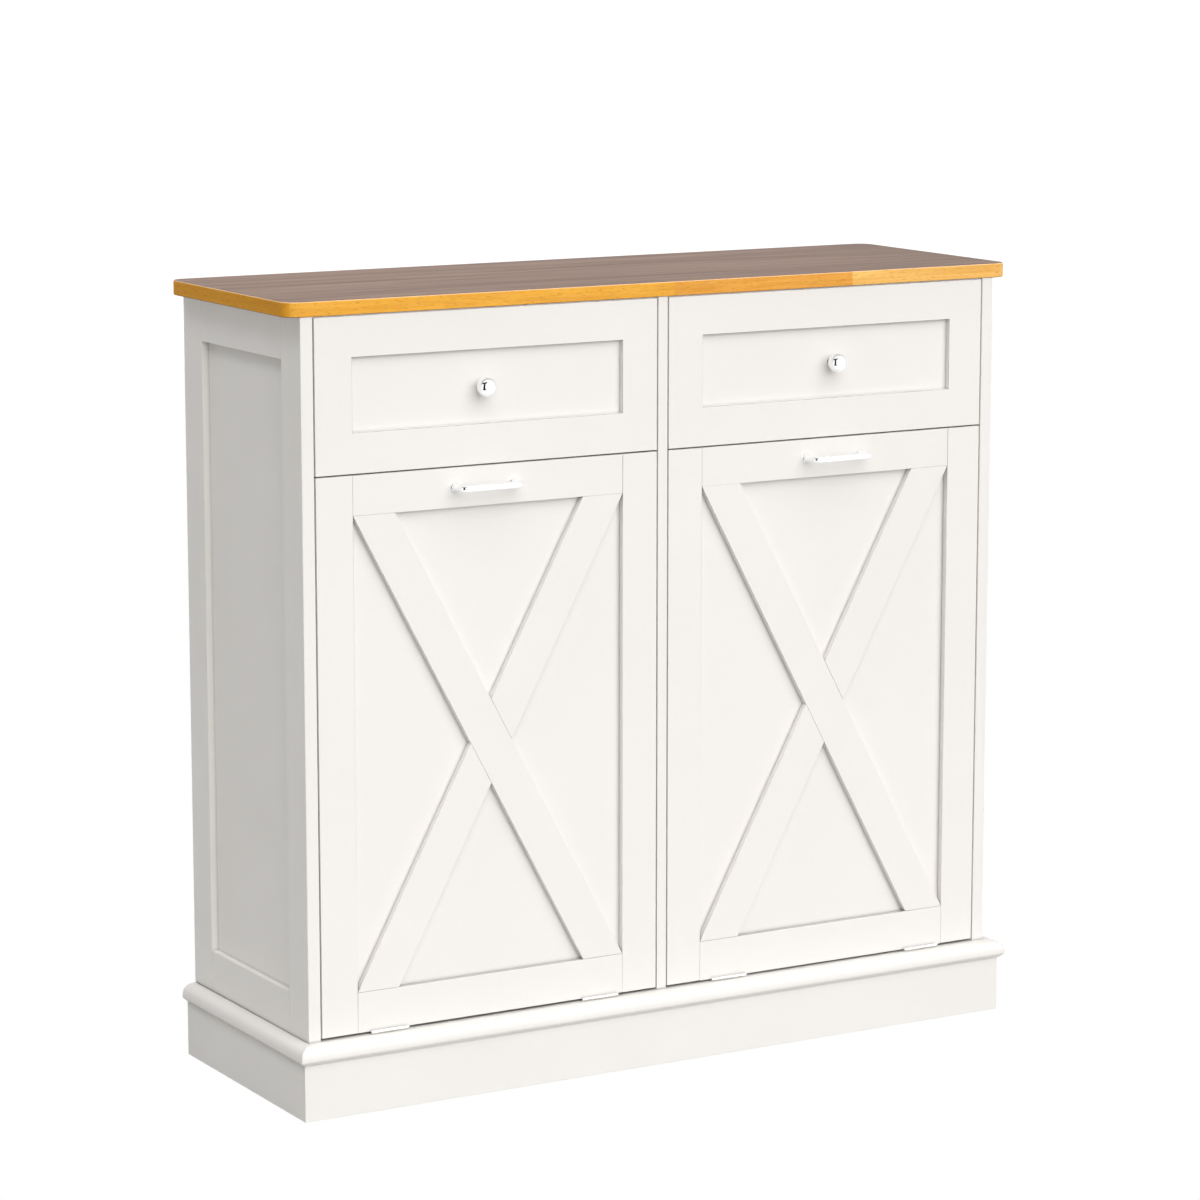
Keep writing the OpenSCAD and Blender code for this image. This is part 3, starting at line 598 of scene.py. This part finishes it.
paint = makePaint("offWhitePaint")
# dark paint in grooves and narrow gaps, as painted shade
jointShadePaint = makePaint("paintedJointShade", lightness=0.45)  # in grooves and narrow gaps
ledgeShadePaint = makePaint("paintedLedgeShade", lightness=0.60)  # darker paint on ledges, as painted shade
# paint whose painted crease shade reaches only 0.3 mm, so faces in gaps show lighter
gapPaint = makePaint("gapPaintShallowShade", reach=0.3 * mm)      # on faces towards a neighbouring board
# a slightly darker copy of the paint, with a wider and paler painted crease shade: painted shade below the
# moulding
plinthPaint = makePaint("plinthPaint", lightness=0.97, reach=6 * mm, creaseShade=(0.68, 0.663, 0.635))
# slightly darker copies of the paint as painted shade: on the moulding with painted crease shade reaching 9
# mm, under its nose with almost none
capPaint = makePaint("capPaint", lightness=0.98, reach=9 * mm)
noseShadedPaint = makePaint("noseShadedPaint", lightness=0.98, reach=0.5 * mm)  # under the moulding's nose
topFace = makeTopFace()
topEdge = makeTopEdge("honeyEdge")
# a painted highlight along the top arris
topArrisHighlight = makeTopEdge("honeyArrisHighlight", share=0.80, towards=(0.95, 0.66, 0.42))
sideEdge = makeTopEdge("honeyEnd", share=0.35, towards=(0.55, 0.215, 0.010), axis="Y", shine=0.02)
bareWood = {axis: makeBareWood(axis) for axis in "XYZ"}
hardboard = makeHardboard()
chrome = makeMetal("chrome")
nickel = makeMetal("nickel")
zinc = makeMetal("zinc")
whitePlastic = makePlastic()
print("materials made")


# Boards: the CAD node's own shape, with its long arrises eased so that joints show as fine seams

# ease is how much comes off an arris of at least this length and angle; faces that meet flatter than flat
# are made one
boardLook = {"ease": 0.7 * mm, "steps": 2, "leastLength": 5 * mm, "leastAngle": 35, "flat": 0.5}
panelLook = {**boardLook, "ease": 0.3 * mm}
jointLook = {**boardLook, "ease": 1.0 * mm}
recessLook = {**boardLook, "ease": 0.4 * mm, "steps": 1}
seamLook = {**boardLook, "ease": 0.6 * mm, "steps": 1, "facing": -0.5}


def pieceName(node):
    first, *rest = node.split("_")
    return first + "".join(word.capitalize() for word in rest)


def copyNode(node):
    piece = bpy.data.objects.new(pieceName(node), frame["nodes"][node].data.copy())
    bpy.context.scene.collection.objects.link(piece)
    openPiece(piece)
    bpy.ops.mesh.customdata_custom_splitnormals_clear()
    pickAll()
    bpy.ops.mesh.remove_doubles(threshold=weldGap)
    bpy.ops.mesh.dissolve_limited(angle_limit=math.radians(boardLook["flat"]))
    return piece


def farFrom(test):
    # edges that share no corner with an edge that passes the test
    return lambda edge: all(not test(other) for v in edge.verts for other in v.link_edges)


def onPlanes(places):
    # faces whose middle lies at one of these places, each an axis and a distance along it
    return lambda face: any(abs(face.calc_center_median()[axis] - place) < closeBy for axis, place in places)


def easeArrises(piece, look, wanted=lambda edge: True):
    angle, length = math.radians(look["leastAngle"]), look["leastLength"]
    pick(piece, "EDGE", lambda edge: len(edge.link_faces) == 2 and edge.is_convex
         and edge.calc_face_angle(0.0) > angle and edge.calc_length() > length and wanted(edge))
    bevel(look["ease"], look["steps"])


def dressBoard(node, slot, material, look=boardLook):
    piece = copyNode(node)
    easeArrises(piece, look)
    smoothOver(piece)
    finishPiece(piece, bodyOf(node), slot, material, node)
    return piece


def dressDoorBoard(side, part):
    # finer arrises round the outside of the door than at the joints, which show as seams
    node = f"{side}_{part}"
    low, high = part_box(side + "_door_stiles")
    piece = copyNode(node)

    def onOutline(edge):
        return any(all(abs(v.co[axis] - limit[axis]) < closeBy for v in edge.verts)
                   for axis in (0, 2) for limit in (low, high))

    easeArrises(piece, panelLook, onOutline)
    easeArrises(piece, jointLook, farFrom(onOutline))
    giveMaterials(piece, paint)
    # the ledge at the foot of the recess, then the faces in the gaps beside, above and below the door
    # the ledge takes the darker ledge paint, as painted shade
    repaint(piece, ledgeShadePaint, lambda face: face.normal.z > square
            and face.calc_center_median().z < high.z - mm)
    repaint(piece, gapPaint, onPlanes(((0, low.x), (0, high.x), (2, high.z))))
    # the face below the door takes the dark joint paint, as painted shade
    repaint(piece, jointShadePaint, onPlanes(((2, low.z),)))
    smoothOver(piece)
    finishPiece(piece, bodyOf(node), "paint", None, node)


def dressSideBoard(node):
    # the upright arrises that face the front catch its light, so the seams of the side frame show pale
    piece = copyNode(node)

    def facesFront(edge):
        upright = abs(edge.verts[0].co.z - edge.verts[1].co.z) > seamLook["leastLength"]
        return upright and sum(face.normal.y for face in edge.link_faces) < seamLook["facing"]

    easeArrises(piece, seamLook, facesFront)
    easeArrises(piece, panelLook, farFrom(facesFront))
    smoothOver(piece)
    finishPiece(piece, bodyOf(node), "paint", paint, node)
    repaint(piece, gapPaint, lambda face: face.normal.x * face.calc_center_median().x < 0)


def dressDrawerFront(side):
    # the arris round the recess takes the dark joint paint, as painted shade, and shows as a fine line
    node = side + "_drawer_front"
    low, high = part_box(node)
    piece = copyNode(node)
    giveMaterials(piece, paint, jointShadePaint)
    openPiece(piece)

    def roundRecess(edge):
        return all(v.co.y < low.y + closeBy and low.x + mm < v.co.x < high.x - mm
                   and low.z + mm < v.co.z < high.z - mm for v in edge.verts)

    easeArrises(piece, panelLook, lambda edge: not roundRecess(edge))
    easeArrises(piece, recessLook, roundRecess)
    useSlot(piece, 1)
    repaint(piece, gapPaint, onPlanes([(axis, limit[axis]) for axis in (0, 2) for limit in (low, high)]))
    smoothOver(piece)
    finishPiece(piece, bodyOf(node), "paint", None, node)


dressBoard("bottom_panel", "paint", paint)
for node in ("plinth_front", "plinth_left", "plinth_right"):
    dressBoard(node, "paint", plinthPaint)
repaint(dressBoard("centre_divider", "paint", paint), gapPaint, lambda face: abs(face.normal.x) > square)
for side in sides:
    for part in ("side_stiles", "side_rails"):
        dressSideBoard(f"{side}_{part}")
    for part in ("long_brace", "cut_brace"):
        dressBoard(f"{side}_{part}", "paint", paint)
    for part in ("door_stiles", "door_rails"):
        dressDoorBoard(side, part)
    dressDrawerFront(side)
    for part in ("side_panel", "door_panel"):
        dressBoard(f"{side}_{part}", "paint", paint, panelLook)
    dressBoard(f"{side}_drawer_sides", "bare_wood", bareWood["Y"])
    dressBoard(f"{side}_drawer_back", "bare_wood", bareWood["X"])
    dressBoard(f"{side}_drawer_bottom", "hardboard", hardboard, panelLook)
    dressBoard(f"{side}_cradle_sides", "bare_wood", bareWood["Z"])
    dressBoard(f"{side}_cradle_tray", "bare_wood", bareWood["X"])
    dressBoard(f"{side}_strike_plate", "zinc", zinc, panelLook)
for node in ("cross_rails", "base_rails"):
    dressBoard(node, "bare_wood", bareWood["X"])
dressBoard("corner_blocks", "bare_wood", bareWood["Z"])
dressBoard("back_panel", "hardboard", hardboard, panelLook)
print("boards dressed")


# Worktop

# slopes are shares of Z in a face's normal: the sides lie between the first two, the arris at the top
# between the last two
worktopLook = {"cornerRadius": 20 * mm, "cornerSteps": 14, "arris": 1.5 * mm, "arrisSteps": 3,
               "slopes": (-0.3, 0.3, 0.95)}


def buildWorktop():
    look = worktopLook
    low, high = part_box("worktop")
    piece = addCube("woodWorktop", low, high)
    openPiece(piece)

    def upright(edge):
        return abs(edge.verts[0].co.z - edge.verts[1].co.z) > look["arris"]

    pick(piece, "EDGE", upright)
    bevel(look["cornerRadius"], look["cornerSteps"], clamp_overlap=True)
    pick(piece, "EDGE", lambda edge: not upright(edge))
    bevel(look["arris"], look["arrisSteps"], clamp_overlap=True)
    giveMaterials(piece, topFace)
    lowest, middle, highest = look["slopes"]
    repaint(piece, topEdge, lambda face: lowest < face.normal.z < middle)
    # the arris takes a lighter honey, a painted highlight
    repaint(piece, topArrisHighlight, lambda face: middle < face.normal.z < highest)
    # the ends of the boards, whose grain runs from front to back
    repaint(piece, sideEdge, lambda face: abs(face.normal.z) < middle
            and abs(face.normal.x) > abs(face.normal.y))
    smoothOver(piece)
    finishPiece(piece, "root", "worktop_wood", None, "worktop")


buildWorktop()
print("worktop built")


# Moulding on the plinth: one block shaped along its front and sides, then cut at the mitres

# reach, back and top are how far the prisms that cut the block go, sideways, backwards and up
capLook = {"noseRise": 6.5 * mm, "lipHeight": 1.4 * mm, "lipDepth": 0.6 * mm, "plinthOut": 13.5 * mm,
           "fullness": 0.61, "roundShare": 0.999, "steps": 14, "weld": 0.03 * mm, "groove": 1.3 * mm,
           "reach": 40 * mm, "back": 1.0, "top": 0.2, "smooth": 28}
mitreLook = {"ease": 0.35 * mm, "steps": 1, "leastLength": 1 * mm, "leastAngle": 50}


def buildCaps():
    look = capLook
    low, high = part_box("plinth_cap_front")
    out = high.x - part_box("right_side_stiles")[1].x
    frontY = low.y + out
    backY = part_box("plinth_cap_left")[1].y
    innerX = high.x - out
    noseZ = low.z + look["noseRise"]
    rise = high.z - noseZ
    block = addCube("baseCap", (low.x, low.y, noseZ), (high.x, backY, noseZ + out))
    openPiece(block)
    pick(block, "EDGE", lambda edge: all(v.co.z > noseZ + out / 2 for v in edge.verts)
         and not all(v.co.y > backY - mm for v in edge.verts))
    bevel(out * look["roundShare"], look["steps"], profile=look["fullness"])
    pickAll()
    bpy.ops.transform.resize(value=(1, 1, rise / out), center_override=(0, 0, noseZ))
    # the lip under the nose, then the slope back to the plinth
    levels = ((look["lipHeight"], look["lipDepth"]),
              (look["noseRise"] - look["lipHeight"], out - look["lipDepth"] - look["plinthOut"]))
    floorZ = noseZ
    for drop, inwards in levels:
        pick(block, "FACE", lambda face: face.normal.z < -square)
        extrude(0, 0, -drop)
        floorZ -= drop
        for test, move in ((lambda v: v.co.x < 0, (inwards, 0, 0)), (lambda v: v.co.x > 0, (-inwards, 0, 0)),
                           (lambda v: v.co.y < frontY, (0, inwards, 0))):
            pick(block, "VERT", lambda v: v.co.z < floorZ + closeBy and test(v))
            bpy.ops.transform.translate(value=move)
    closePiece(block)
    mendShell(block, look["weld"])
    cutCaps(block, frontY, innerX, noseZ)


def raisePrism(plan, height):
    # plan is a list of corners in X and Y, on the floor
    prism = drawLine("planPrism", [(x, y, 0) for x, y in plan])
    bpy.ops.mesh.edge_face_add()
    extrude(0, 0, height)
    mendShell(prism)
    return prism


def cutCaps(block, frontY, innerX, noseZ):
    # each piece is what the block shares with a prism over its own plan, mitred at the front corners
    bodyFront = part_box("left_side_stiles")[0].y
    outerX, outerY, back = innerX + capLook["reach"], frontY - capLook["reach"], capLook["back"]
    plans = {"plinth_cap_front": [(-outerX, outerY), (outerX, outerY), (innerX, frontY), (innerX, bodyFront),
                                  (-innerX, bodyFront), (-innerX, frontY)]}
    for side, sign in sides.items():
        plans["plinth_cap_" + side] = [(sign * innerX, frontY), (sign * outerX, outerY),
                                       (sign * outerX, back), (sign * innerX, back)]
    for node, plan in plans.items():
        piece = copyPiece(block)
        piece.name = pieceName(node)
        carve(piece, "INTERSECT", raisePrism(plan, capLook["top"]))
        giveMaterials(piece, capPaint, jointShadePaint)
        openPiece(piece)
        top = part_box(node)[1].z

        def alongBody(v):
            aside = v.co.y - bodyFront if node == "plinth_cap_front" else abs(v.co.x) - innerX
            return v.co.z > top - closeBy and abs(aside) < closeBy

        # the groove along the body, in the dark joint paint as painted shade
        pick(piece, "EDGE", lambda edge: all(alongBody(v) for v in edge.verts))
        bevel(capLook["groove"], 1)
        useSlot(piece, 1)
        easeArrises(piece, mitreLook)
        mendShell(piece)
        # faces under the nose take the nose paint: slightly darker, with almost no painted crease shade
        repaint(piece, noseShadedPaint, lambda face: face.calc_center_median().z < noseZ)
        smoothOver(piece, capLook["smooth"])
        finishPiece(piece, "root", "paint", None, node)
    bpy.data.objects.remove(block)


buildCaps()
print("base moulding built")


# Machine screws and wood screws, modelled head up at the origin and copied into place

screwLook = {"around": 32, "crossLong": 0.62, "crossWide": 0.16, "crossDeep": 0.55, "rim": 0.55,
             "domeAngles": (20, 40, 60, 75), "facingBack": (math.radians(-90), 0, 0), "smooth": 30}


def turnProfile(name, points, around):
    # points are (radius, height) from the axis back to the axis; the line is spun about Z
    piece = drawLine(name, [(radius, 0, height) for radius, height in points])
    bpy.ops.mesh.spin(steps=around, angle=2 * math.pi, center=(0, 0, 0), axis=(0, 0, 1))
    mendShell(piece)
    return piece


def buildScrew(name, headRadius, shankRadius, shankLength, dome=0.0):
    # dome is how high a domed head stands; without it the head is countersunk
    points = [(0, -shankLength), (shankRadius, -shankLength),
              (shankRadius, 0.0 if dome else shankRadius - headRadius), (headRadius, 0)]
    if dome:
        rim = dome * screwLook["rim"]
        points.append((headRadius, rim))
        points += [(headRadius * math.cos(math.radians(a)), rim + (dome - rim) * math.sin(math.radians(a)))
                   for a in screwLook["domeAngles"]]
    points.append((0, dome))
    screw = turnProfile(name, points, screwLook["around"])
    length, width = headRadius * screwLook["crossLong"], headRadius * screwLook["crossWide"]
    floorZ = dome - headRadius * screwLook["crossDeep"]
    for x, y in ((length, width), (width, length)):
        carve(screw, "DIFFERENCE", addCube("crossCutter", (-x, -y, floorZ), (x, y, dome + mm)))
    smoothOver(screw, screwLook["smooth"])
    return screw


def placeScrews(screw, name, places, body):
    # each place is where the head's underside, or the flush face, comes; the model itself then goes
    copies = []
    for place in places:
        copy = copyPiece(screw)
        copy.rotation_euler = screwLook["facingBack"]
        copy.location = place
        copies.append(copy)
    bpy.data.objects.remove(screw)
    closePiece(copies[0])
    for copy in copies:
        copy.select_set(True)
    bpy.ops.object.join()
    piece = nameNew(name)
    placeNow(piece)
    finishPiece(piece, body, "zinc", zinc)
    return piece


print("screws ready")


# Knobs

handleLook = {"knobPlace": 249 * mm, "knobRadius": 12 * mm, "footRadius": 5.5 * mm, "footRim": 1.2 * mm,
              "footHeight": 2.6 * mm, "neckRadius": 4 * mm, "neckLength": 1.5 * mm, "around": 64,
              "steps": 36, "softEdge": 0.3 * mm, "screwRadius": 2 * mm, "headHeight": 2.5 * mm,
              "knobScrewIn": 8 * mm, "pullScrewIn": 10 * mm, "smooth": 40}


def buildMachineScrew(length):
    radius = handleLook["screwRadius"]
    return buildScrew("machineScrew", 2 * radius, radius, length, handleLook["headHeight"])


def buildKnob(side, sign):
    look = handleLook
    node = side + "_knob"
    low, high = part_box(side + "_drawer_front")
    radius, neck = look["knobRadius"], look["neckRadius"]
    lastTurn = math.acos(neck / radius)
    ballHeight = look["footHeight"] + look["neckLength"] + radius * math.sin(lastTurn)
    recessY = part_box(node)[0].y + ballHeight + radius
    middle = Vector((sign * look["knobPlace"], recessY, (low.z + high.z) / 2))
    foot, rim, small = look["footRadius"], look["footRim"], look["softEdge"]
    points = [(0, 0), (foot - small, 0), (foot, small), (foot, rim - small), (foot - small, rim),
              (neck + small, look["footHeight"] - small), (neck, look["footHeight"] + small)]
    for step in range(look["steps"]):
        angle = -lastTurn + (lastTurn + math.pi / 2) * step / look["steps"]
        points.append((radius * math.cos(angle), ballHeight + radius * math.sin(angle)))
    points.append((0, ballHeight + radius))
    knob = turnProfile(pieceName(node), points, look["around"])
    knob.rotation_euler = (math.radians(90), 0, 0)
    knob.location = middle
    placeNow(knob)
    smoothOver(knob, look["smooth"])
    finishPiece(knob, bodyOf(node), "chrome", chrome, node)
    screw = buildMachineScrew(high.y - recessY + look["knobScrewIn"])
    placeScrews(screw, side + "KnobScrew", [(middle.x, high.y, middle.z)], bodyOf(node))


# Pulls

pullLook = {"centres": 80 * mm, "barRadius": 4.25 * mm, "out": 29 * mm, "bend": 7 * mm,
            "footRadius": 4.8 * mm, "footHeight": 1.5 * mm, "footEdge": 0.4 * mm, "barRise": 1.2 * mm,
            "around": 40, "bendSteps": 14, "weld": 0.01 * mm}


def buildPull(side, sign):
    # the left half is drawn from its foot to the middle of the bar, and mirrored
    look = pullLook
    node = side + "_pull"
    low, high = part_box(node)
    doorFace = low.y + look["out"]
    reach, radius, edge = look["centres"] / 2, look["barRadius"], look["footEdge"]
    legLength = look["out"] - radius - look["bend"]
    clearSelection()
    bpy.ops.mesh.primitive_circle_add(vertices=look["around"], radius=look["footRadius"],
                                      location=(-reach, 0, 0), rotation=(math.radians(90), 0, 0))
    pull = nameNew(pieceName(node))
    placeNow(pull)
    openPiece(pull)
    pickAll()
    # how far out, how far up, and how wide each ring comes; the bar lies a little higher than its feet
    rings = ((look["footHeight"] - edge, 0.0, look["footRadius"]),
             (edge, 0.0, look["footRadius"] - edge), (0.0, 0.0, radius),
             (legLength - look["footHeight"], look["barRise"], radius))
    y, wide = 0.0, look["footRadius"]
    for step, up, nextWide in rings:
        extrude(0, -step, up)
        y -= step
        shrink = nextWide / wide
        bpy.ops.transform.resize(value=(shrink, 1, shrink), center_override=(-reach, y, 0))
        wide = nextWide
    bpy.ops.mesh.spin(steps=look["bendSteps"], angle=math.pi / 2, axis=(0, 0, -1),
                      center=(-reach + look["bend"], y, 0))
    extrude(reach - look["bend"], 0, 0)
    useModifier(pull, "MIRROR", use_axis=(True, False, False), merge_threshold=look["weld"])
    openPiece(pull)
    pickAll()
    bpy.ops.mesh.fill_holes(sides=look["around"])
    mendShell(pull)
    x, z = sign * handleLook["knobPlace"], (low.z + high.z) / 2
    pull.location = (x, doorFace, z)
    placeNow(pull)
    smoothOver(pull, handleLook["smooth"])
    finishPiece(pull, bodyOf(node), "chrome", chrome, node)
    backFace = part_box(side + "_door_rails")[1].y
    places = [(x + aside, backFace, z) for aside in (-reach, reach)]
    screw = buildMachineScrew(backFace - doorFace + handleLook["pullScrewIn"])
    placeScrews(screw, side + "PullScrews", places, bodyOf(node))


for side, sign in sides.items():
    buildKnob(side, sign)
    buildPull(side, sign)
print("knobs and pulls built")


# Screws of the back panel

backScrewLook = {"radius": 1.5 * mm, "length": 19 * mm, "rows": 5, "in": 4 * mm, "low": 20 * mm,
                 "high": 30 * mm}


def buildBackScrews():
    look = backScrewLook
    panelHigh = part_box("back_panel")[1]
    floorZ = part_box("bottom_panel")[1].z + look["low"]
    topZ = panelHigh.z - look["high"]
    step = (topZ - floorZ) / (look["rows"] - 1)
    outerX = panelHigh.x - look["in"]
    places = [(x, panelHigh.y, floorZ + row * step) for x in (-outerX, 0, outerX)
              for row in range(look["rows"])]
    radius = look["radius"]
    screw = buildScrew("woodScrew", 2 * radius, radius, look["length"])
    piece = placeScrews(screw, "backScrews", places, "root")
    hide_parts("back_screws")


buildBackScrews()
print("back screws built")


# Magnetic catches: a moulded case with two steel poles in its face

catchLook = {"ease": 1.0 * mm, "steps": 3, "poleHeight": 1.6 * mm, "poleApart": 5 * mm, "poleInset": 6 * mm,
             "poleOut": 0.25 * mm, "poleDepth": 8 * mm, "poleEase": 0.2 * mm, "poleSteps": 2}


def addSoftBlock(name, low, high, ease, steps):
    block = addCube(name, low, high)
    openPiece(block)
    pick(block, "EDGE", lambda edge: True)
    bevel(ease, steps)
    smoothOver(block)
    return block


def buildCatches():
    look = catchLook
    low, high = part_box("door_catches")
    plateLow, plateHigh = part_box("right_strike_plate")
    half = high.x - (plateLow.x + plateHigh.x) / 2
    for side, sign in sides.items():
        middle = sign * (high.x - half)
        case = addSoftBlock(side + "DoorCatch", (middle - half, low.y + look["poleOut"], low.z),
                            (middle + half, high.y, high.z), look["ease"], look["steps"])
        finishPiece(case, "root", "zinc", whitePlastic, "door_catches")
        poleX = half - look["poleInset"]
        for index, up in enumerate((-1, 1)):
            z = (low.z + high.z) / 2 + up * look["poleApart"] / 2
            reach = Vector((poleX, 0, look["poleHeight"] / 2))
            front = Vector((middle, low.y, z))
            back = front + Vector((0, look["poleDepth"], 0))
            pole = addSoftBlock(f"{side}CatchPole{index}", front - reach, back + reach, look["poleEase"],
                                look["poleSteps"])
            finishPiece(pole, "root", "zinc", zinc)


buildCatches()
print("catches built")


# CAD nodes whose shape is right as it is get their finish

keptNodes = {"hinge_bases": nickel, "left_door_hinges": nickel, "right_door_hinges": nickel,
             "slide_outers": zinc, "left_slide_inners": zinc, "right_slide_inners": zinc,
             "left_ball_cages": zinc, "right_ball_cages": zinc, "worktop_screws": zinc,
             "tilt_stop_pegs": bareWood["X"]}
for node, material in keptNodes.items():
    giveMaterials(frame["nodes"][node], material)
print("kept nodes finished")


# Floor, light and camera

stageLook = {"floorSize": 14.0, "floor": (0.45, 0.445, 0.438), "ambientColour": (1, 0.995, 0.985, 1),
             "ambient": 0.28, "reflected": 1.1}

# a very broad light from above the front, and a weaker one from the left; turn is from the front towards the
# right, rise is above the horizon, width is across the light, in degrees
lightLooks = {"frontLight": {"turn": 4, "rise": 34, "width": 78, "strength": 2.84},
              "leftLight": {"turn": -90, "rise": 62, "width": 24, "strength": 0.80}}


def addLight(name):
    look = lightLooks[name]
    clearSelection()
    turn, rise = math.radians(look["turn"]), math.radians(look["rise"])
    bpy.ops.object.light_add(type="SUN")
    light = nameNew(name)
    light.data.angle = math.radians(look["width"])
    light.data.energy = look["strength"]
    light.data.cycles.use_multiple_importance_sampling = False  # mirrors show the studio, not this light
    towards = Vector((-math.sin(turn) * math.cos(rise), math.cos(turn) * math.cos(rise), -math.sin(rise)))
    light.rotation_euler = towards.to_track_quat("-Z", "Y").to_euler()


def clearTheWorktop(name):
    # the worktop's overhang casts no shadow of this light on the fronts, as in the photograph
    passers = bpy.data.collections.new("lightPassesThese")
    passers.objects.link(bpy.data.objects["woodWorktop"])
    bpy.data.objects[name].light_linking.blocker_collection = passers
    passers.collection_objects[0].light_linking.link_state = "EXCLUDE"


def addFloor():
    clearSelection()
    bpy.ops.mesh.primitive_plane_add(size=stageLook["floorSize"])
    floor = nameNew("studioFloor")
    material = bpy.data.materials.new("studioFloor")
    tree, surface = openTree(material, "ShaderNodeOutputMaterial")
    seen = addNode(tree, "ShaderNodeEmission", Color=(1, 1, 1, 1), Strength=1.0).outputs[0]
    lit = addNode(tree, "ShaderNodeBsdfDiffuse", Color=(*stageLook["floor"], 1)).outputs[0]
    path = tree.nodes.new("ShaderNodeLightPath").outputs
    # reflections look through the floor into the same white studio
    clear = tree.nodes.new("ShaderNodeBsdfTransparent").outputs[0]
    shown = mixShaders(tree, path["Is Camera Ray"], lit, seen)
    tree.links.new(mixShaders(tree, path["Is Glossy Ray"], shown, clear), surface)
    floor.data.materials.append(material)
    floor.visible_shadow = False


# a narrow dark flag beside the camera, which only the chrome shows. Turns and rises are in degrees from the
# front and the horizon: the stem, the foot, and the head that slopes up from one end to the other
flagLook = {"radius": 5.0, "middle": (0, -0.16, 0.86), "turn": -58, "stemHalf": 11, "low": -30, "high": 45,
            "footHalf": 20, "footTop": -19, "headFrom": (-92, 38), "headTo": (-28, 58), "headHalf": 9,
            "colour": (0.01, 0.01, 0.01, 1), "around": 120, "rings": 90}


def insideFlag(turn, rise):
    look = flagLook
    aside = abs(turn - look["turn"])
    stem = aside < look["stemHalf"] and look["low"] < rise < look["high"]
    foot = aside < look["footHalf"] and look["low"] < rise < look["footTop"]
    (startTurn, startRise), (endTurn, endRise) = look["headFrom"], look["headTo"]
    along = (turn - startTurn) / (endTurn - startTurn)
    headRise = startRise + along * (endRise - startRise)
    head = 0 < along < 1 and abs(rise - headRise) < look["headHalf"]
    return stem or foot or head


def addDarkFlag():
    clearSelection()
    bpy.ops.mesh.primitive_uv_sphere_add(segments=flagLook["around"], ring_count=flagLook["rings"],
                                         radius=flagLook["radius"])
    flag = nameNew("darkFlag")
    openPiece(flag)

    def outside(face):
        x, y, z = face.calc_center_median().normalized()
        return not insideFlag(math.degrees(math.atan2(x, -y)), math.degrees(math.asin(z)))

    pick(flag, "FACE", outside)
    bpy.ops.mesh.delete(type="FACE")
    closePiece(flag)
    flag.location = flagLook["middle"]
    placeNow(flag)
    material = bpy.data.materials.new("darkFlag")
    tree, surface = openTree(material, "ShaderNodeOutputMaterial")
    dark = addNode(tree, "ShaderNodeBsdfDiffuse", Color=flagLook["colour"])
    tree.links.new(dark.outputs[0], surface)
    flag.data.materials.append(material)
    flag.visible_camera = False
    flag.visible_diffuse = False
    flag.visible_shadow = False


def lightWorld():
    # the camera and the reflections see a white studio, which lights the cabinet less than it shows
    world = bpy.data.worlds.new("paleStudio")
    bpy.context.scene.world = world
    tree, surface = openTree(world, "ShaderNodeOutputWorld")
    path = tree.nodes.new("ShaderNodeLightPath").outputs
    ambient = addNode(tree, "ShaderNodeBackground", Color=stageLook["ambientColour"],
                      Strength=stageLook["ambient"]).outputs[0]
    shown = addNode(tree, "ShaderNodeBackground", Color=(1, 1, 1, 1),
                    Strength=stageLook["reflected"]).outputs[0]
    either = calc(tree, "MAXIMUM", path["Is Camera Ray"], path["Is Glossy Ray"])
    tree.links.new(mixShaders(tree, either, ambient, shown), surface)


# the photograph's viewpoint, for an image of 1200 x 1200
cameraLook = {"place": (-2.5473, -4.3991, 1.4565), "tilt": 80.045, "turn": -30.045, "lens": 122.505,
              "sensor": 36.0}


def addCamera():
    clearSelection()
    tilt, turn = math.radians(cameraLook["tilt"]), math.radians(cameraLook["turn"])
    bpy.ops.object.camera_add(location=cameraLook["place"], rotation=(tilt, 0, turn))
    camera = nameNew("photoCamera")
    camera.data.lens = cameraLook["lens"]
    camera.data.sensor_width = cameraLook["sensor"]
    bpy.context.scene.camera = camera


addFloor()
lightWorld()
for name in lightLooks:
    addLight(name)
clearTheWorktop("frontLight")
addDarkFlag()
addCamera()
bpy.context.scene.view_settings.view_transform = "Standard"
print("stage set")

clearSelection()
